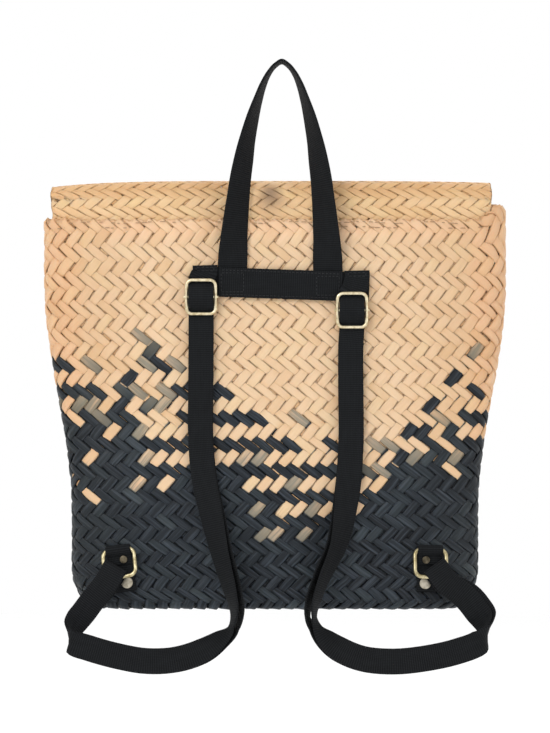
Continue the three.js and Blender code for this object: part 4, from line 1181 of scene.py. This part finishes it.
# %% [markdown]
# ## Metal
# The sliders are pale antique gold, the rings a warmer brass, the upper rivets are almost bronze and
# the lower rivets are a pale satin grey. Real plated wire is never one colour: patina collects in soft
# patches, so noise on Object coordinates shifts its colour and roughness.


# %% Metal materials
def metal_material(name, bright, dull, rough):
    material, tree, shader = new_material(name)
    patches = noise(tree, object_places(tree), 260.0, 4.0, 0.6)
    fine = noise(tree, object_places(tree), 2600.0, 2.0, 0.5)
    share = ramp(tree, patches, [(0.38, (0, 0, 0)), (0.66, (1, 1, 1))])
    colour = mix_colours(tree, share, bright, dull)
    tree.links.new(colour, shader.inputs["Base Color"])
    tree.links.new(maths(tree, "MULTIPLY_ADD", patches, 0.25, rough - 0.1), shader.inputs["Roughness"])
    shader.inputs["Metallic"].default_value = 1.0
    tree.links.new(bump(tree, fine, 0.00005, 0.35), shader.inputs["Normal"])
    return material


slider_metal = metal_material("pale_antique_gold", (0.82, 0.73, 0.52), (0.50, 0.41, 0.24), 0.30)
ring_metal = metal_material("brass", (0.60, 0.53, 0.33), (0.27, 0.22, 0.11), 0.30)
bronze = metal_material("dark_bronze", (0.15, 0.125, 0.085), (0.05, 0.042, 0.028), 0.38)
grey_metal = metal_material("satin_grey", (0.50, 0.455, 0.37), (0.28, 0.25, 0.19), 0.34)
print("metal materials ready")


# %% Wire frames
def apply_matrix(piece, matrix):
    piece.data.transform(matrix)
    piece.data.update()


def wire_frame(name, width, height, corner, wire, material, matrix):
    """Bend a wire to a rounded rectangle: a plane's rounded outline, given a round bevel."""
    bpy.ops.object.select_all(action="DESELECT")
    bpy.ops.mesh.primitive_plane_add(size=1.0)
    piece = bpy.context.object
    piece.name = name
    piece.scale = ((width - wire) * MM, (height - wire) * MM, 1.0)
    bpy.ops.object.transform_apply(location=False, rotation=False, scale=True)
    bpy.ops.object.mode_set(mode="EDIT")
    bpy.ops.mesh.select_all(action="SELECT")
    bpy.ops.mesh.bevel(offset=corner * MM, segments=8, affect="VERTICES")
    bpy.ops.mesh.delete(type="ONLY_FACE")
    bpy.ops.object.mode_set(mode="OBJECT")
    bpy.ops.object.convert(target="CURVE")
    piece = bpy.context.object
    piece.data.bevel_depth = wire / 2 * MM
    piece.data.bevel_resolution = 6
    bpy.ops.object.convert(target="MESH")
    piece = bpy.context.object
    piece.data.materials.clear()
    piece.data.materials.append(material)
    bpy.ops.object.mode_set(mode="EDIT")
    bpy.ops.mesh.select_all(action="SELECT")
    bpy.ops.mesh.remove_doubles(threshold=0.00001)
    bpy.ops.mesh.normals_make_consistent(inside=False)
    bpy.ops.object.mode_set(mode="OBJECT")
    bpy.ops.object.shade_smooth()
    apply_matrix(piece, matrix)
    return piece


def round_bar(name, radius, length, material, matrix):
    bpy.ops.object.select_all(action="DESELECT")
    bpy.ops.mesh.primitive_cylinder_add(vertices=24, radius=radius * MM, depth=length * MM)
    piece = bpy.context.object
    piece.name = name
    modifier = piece.modifiers.new("ends", "BEVEL")
    modifier.width = radius * 0.45 * MM
    modifier.segments = 4
    modifier.limit_method = "ANGLE"
    bpy.ops.object.modifier_apply(modifier="ends")
    bpy.ops.object.shade_smooth()
    piece.data.materials.append(material)
    apply_matrix(piece, matrix)
    return piece


def join_pieces(pieces, name):
    bpy.ops.object.select_all(action="DESELECT")
    for piece in pieces:
        piece.select_set(True)
    bpy.context.view_layer.objects.active = pieces[0]
    bpy.ops.object.join()
    pieces[0].name = name
    return pieces[0]


print("wire helpers ready")

# %% Sliders and rings
STAND_UP = Matrix.Rotation(math.radians(90.0), 4, "X")
LIE_ACROSS = Matrix.Rotation(math.radians(90.0), 4, "Y")
SLIDERS = {"left": (-68.3, -12.73, -199.5), "right": (59.2, -13.72, -210.75)}
SLIDER_WIRE = (27.6, 31.5, 4.8, 3.1)
SLIDER_BAR = (1.2, 29.6)
RING_WIRE = (29.8, 27.0, 6.0, 3.5)
RING_DEPTH = -7.28
for side, place in SLIDERS.items():
    there = Matrix.Translation(Vector(place) * MM)
    frame_piece = wire_frame("slider_frame", *SLIDER_WIRE, slider_metal, there @ STAND_UP)
    bar = round_bar("slider_bar", *SLIDER_BAR, slider_metal, there @ LIE_ACROSS)
    piece = join_pieces([frame_piece, bar], "slider_wire_" + side)
    settle(piece, "slider_metal", "slider_" + side)

for side, matrix in ANCHORS.items():
    there = matrix @ Matrix.Translation((0.0, RING_DEPTH * MM, 0.0))
    there = there @ Matrix.Rotation(-RING_LEAN, 4, "X")
    piece = wire_frame("ring_wire_" + side, *RING_WIRE, ring_metal, there @ STAND_UP)
    settle(piece, "ring_metal", "bottom_ring_" + side)
print("sliders and rings made")

# %% [markdown]
# A rivet is a domed head with a thin rim over the webbing, a shank through the wall and a washer inside
# the bag. The head is a cylinder whose face is inset and raised in three steps.

# %% Rivets
RIVET_ASIDE = {"left": 3.5, "right": -3.5}
RIVET_DOME = ((0.16, 0.10), (0.30, 0.16), (0.30, 0.04))
WASHER_THICK = 0.8
SHANK_RADIUS = 1.6


def rivet(name, side, matrix, radius, face, drop, material):
    bpy.ops.object.select_all(action="DESELECT")
    bpy.ops.mesh.primitive_cylinder_add(vertices=40, radius=radius * MM, depth=1.0 * MM)
    piece = bpy.context.object
    piece.name = name
    piece.location = (0.0, 0.0, 0.5 * MM)
    bpy.ops.object.transform_apply(location=True, rotation=False, scale=False)
    bpy.ops.object.mode_set(mode="EDIT")
    bpy.ops.mesh.select_all(action="DESELECT")
    bpy.ops.object.mode_set(mode="OBJECT")
    for polygon in piece.data.polygons:
        polygon.select = polygon.normal.z > 0.9
    bpy.ops.object.mode_set(mode="EDIT")
    for inward, rise in RIVET_DOME:
        bpy.ops.mesh.inset(thickness=radius * inward * MM, depth=rise * MM)
    bpy.ops.object.mode_set(mode="OBJECT")
    modifier = piece.modifiers.new("rim", "BEVEL")
    modifier.width = 0.25 * MM
    modifier.segments = 3
    modifier.limit_method = "ANGLE"
    bpy.ops.object.modifier_apply(modifier="rim")
    bpy.ops.object.shade_smooth()
    bpy.ops.mesh.primitive_cylinder_add(vertices=40, radius=radius * MM, depth=WASHER_THICK * MM)
    washer = bpy.context.object
    inside = face - SEAT - WALL - SEAT - WASHER_THICK / 2
    washer.data.transform(Matrix.Translation((0.0, 0.0, inside * MM)))
    bpy.ops.mesh.primitive_cylinder_add(vertices=20, radius=SHANK_RADIUS * MM,
                                        depth=(WALL + SEAT - face + SEAT) * MM)
    shank = bpy.context.object
    shank.data.transform(Matrix.Translation((0.0, 0.0, (face - SEAT - WALL) / 2 * MM)))
    piece = join_pieces([piece, washer, shank], name)
    piece.data.materials.clear()
    piece.data.materials.append(material)
    head = Matrix.Translation((RIVET_ASIDE[side] * MM, (face - SEAT) * MM, drop * MM))
    apply_matrix(piece, matrix @ head @ STAND_UP)
    return piece


TAB_HALF = 0.8
UPPER_RIVET = {"radius": 3.2, "face": TAB_BACK - LAYER - TAB_HALF, "drop": 2.2, "material": bronze}
LOWER_RIVET = {"radius": 4.8, "face": TAB_BACK - TAB_HALF, "drop": -17.5, "material": grey_metal}
for side, matrix in ANCHORS.items():
    piece = rivet("rivet_upper_" + side, side, matrix, **UPPER_RIVET)
    settle(piece, "upper_rivet_metal", "upper_rivet_" + side)
    piece = rivet("rivet_lower_" + side, side, matrix, **LOWER_RIVET)
    settle(piece, "lower_rivet_metal", "lower_rivet_" + side)
print("rivets made")

# %% [markdown]
# ## Stitches
# Thread holds the webbing and the flap. A stitch is a short rounded length of thread that dips at both
# ends, and a row of them follows a line on the surface.


# %% Thread
def thread_material(name, colour, shade):
    material, tree, shader = new_material(name)
    twist = noise(tree, object_places(tree), 1500.0, 2.0, 0.5)
    tree.links.new(mix_colours(tree, twist, colour, shade), shader.inputs["Base Color"])
    shader.inputs["Roughness"].default_value = 0.7
    tree.links.new(bump(tree, twist, 0.0001, 0.5), shader.inputs["Normal"])
    return material


black_thread = thread_material("black_thread", (0.013, 0.014, 0.016), (0.004, 0.005, 0.006))
# The seam thread's brown is partly its own colour and partly painted shade where the stitches pull into
# the straw.
seam_thread_and_shade = thread_material("seam_thread_and_shade", (0.44, 0.28, 0.16), (0.27, 0.16, 0.08))
STITCH_ARCH = (-0.9, 0.35, 0.6, 0.35, -0.9)
STITCH_SIDES = 6


def stitches(name, lines, out, length, gap, radius, material):
    """Rows of stitches along lines of places in metres, raised in the direction out."""
    out = np.asarray(out, float)
    points, faces = [], []
    for line in lines:
        line = np.asarray(line, float)
        run = np.concatenate([[0.0], np.cumsum(np.linalg.norm(np.diff(line, axis=0), axis=1))])
        count = max(int(run[-1] / ((length + gap) * MM)), 1)
        for i in range(count):
            low = (i + 0.5 * gap / (length + gap)) * run[-1] / count
            high = low + run[-1] / count * length / (length + gap)
            share = np.linspace(low, high, len(STITCH_ARCH))
            middle = np.stack([np.interp(share, run, line[:, j]) for j in range(3)], axis=1)
            middle = middle + out * np.array(STITCH_ARCH)[:, None] * radius * MM
            along = (middle[-1] - middle[0]) / np.linalg.norm(middle[-1] - middle[0])
            side = np.cross(along, out)
            start = len(points)
            for j, place in enumerate(middle):
                girth = radius * MM * (0.55 if j in (0, len(STITCH_ARCH) - 1) else 1.0)
                for corner in range(STITCH_SIDES):
                    angle = corner * 2.0 * math.pi / STITCH_SIDES
                    points.append(place + (side * math.cos(angle) + out * math.sin(angle)) * girth)
            for j in range(len(STITCH_ARCH) - 1):
                a, b = start + j * STITCH_SIDES, start + (j + 1) * STITCH_SIDES
                for corner in range(STITCH_SIDES):
                    n = (corner + 1) % STITCH_SIDES
                    faces.append((a + corner, b + corner, b + n, a + n))
            faces.append(tuple(range(start, start + STITCH_SIDES)))
            faces.append(tuple(range(len(points) - STITCH_SIDES, len(points)))[::-1])
    return mesh_piece(name, points, faces, material)


def rectangle(x0, x1, z0, z1, proud):
    corners = [(x0, z0), (x1, z0), (x1, z1), (x0, z1), (x0, z0)]
    lines = []
    for (xa, za), (xb, zb) in zip(corners, corners[1:]):
        shares = np.linspace(0.0, 1.0, 6)
        lines.append([to_frame(on_back(blend(xa, xb, s), blend(za, zb, s), proud)) for s in shares])
    return lines


print("thread ready")

# %% Sew the webbing
TOWARDS_BACK = (0.0, -1.0, 0.0)
EDGE_ROWS = (0.41, -0.41)
ROW_MARGIN = 3.5
FOOT_BOX = (9.5, 8.0)
STRAP_END = 10.5
STRAP_BOX = (7.5, 9.0, 12.0)
lines = []
for edge in EDGE_ROWS:
    xs = np.linspace(OVER_FEET[0] + ROW_MARGIN, OVER_FEET[1] - ROW_MARGIN, 30)
    lines.append([to_frame(on_back(x, band_centre(x) + edge * BAND_WIDTH, band_proud(x) + BAND_THICK))
                  for x in xs])
for sign in (-1, 1):
    x = sign * HANDLE_SPAN + HANDLE_SHIFT[0]
    z = band_centre(x)
    half, up = FOOT_BOX
    lines += rectangle(x - half, x + half, z - up, z + up, band_proud(x) + BAND_THICK)
for x in (BAND_ENDS[0] + STRAP_END, BAND_ENDS[1] - STRAP_END):
    z = band_centre(x)
    half, low, high = STRAP_BOX
    lines += rectangle(x - half, x + half, z + low, z + high,
                       2 * SEAT + BAND_THICK + LAYER_GAP + STRAP_THICK)
piece = stitches("webbing_stitches", lines, TOWARDS_BACK, 2.2, 0.9, 0.28, black_thread)
settle(piece, "webbing")
print("webbing stitches, triangles:", triangles(piece))

# %% [markdown]
# The flap is sewn to the back just under the rim. The straw thread shows as short stitches here and
# there, in two rows. Its brown, darker than the straw, is partly its own colour and partly painted shade
# where the stitches pull into the straw. A row has its place under the rim, its share of stitches that
# show, and a seed.

# %% Sew the flap
SEAM_ROWS = ((2.2, 0.55, 0), (6.2, 0.22, 7))
SEAM_PROUD = 1.3
lines = []
for drop, share, start in SEAM_ROWS:
    for number, x in enumerate(np.arange(-186.0, 182.0, 5.2)):
        if scatter(np.array(number), start) < share:
            xs = np.linspace(x, x + blend(2.4, 5.6, float(scatter(np.array(number), start + 1))), 3)
            z = HEIGHT - drop + 0.7 * math.sin(x * 0.11 + start)
            lines.append([to_frame(on_back(at, z, SEAM_PROUD)) for at in xs])
piece = stitches("flap_seam", lines, TOWARDS_BACK, 8.0, 0.4, 0.4, seam_thread_and_shade)
settle(piece, "straw")
print("seam stitches, triangles:", triangles(piece))
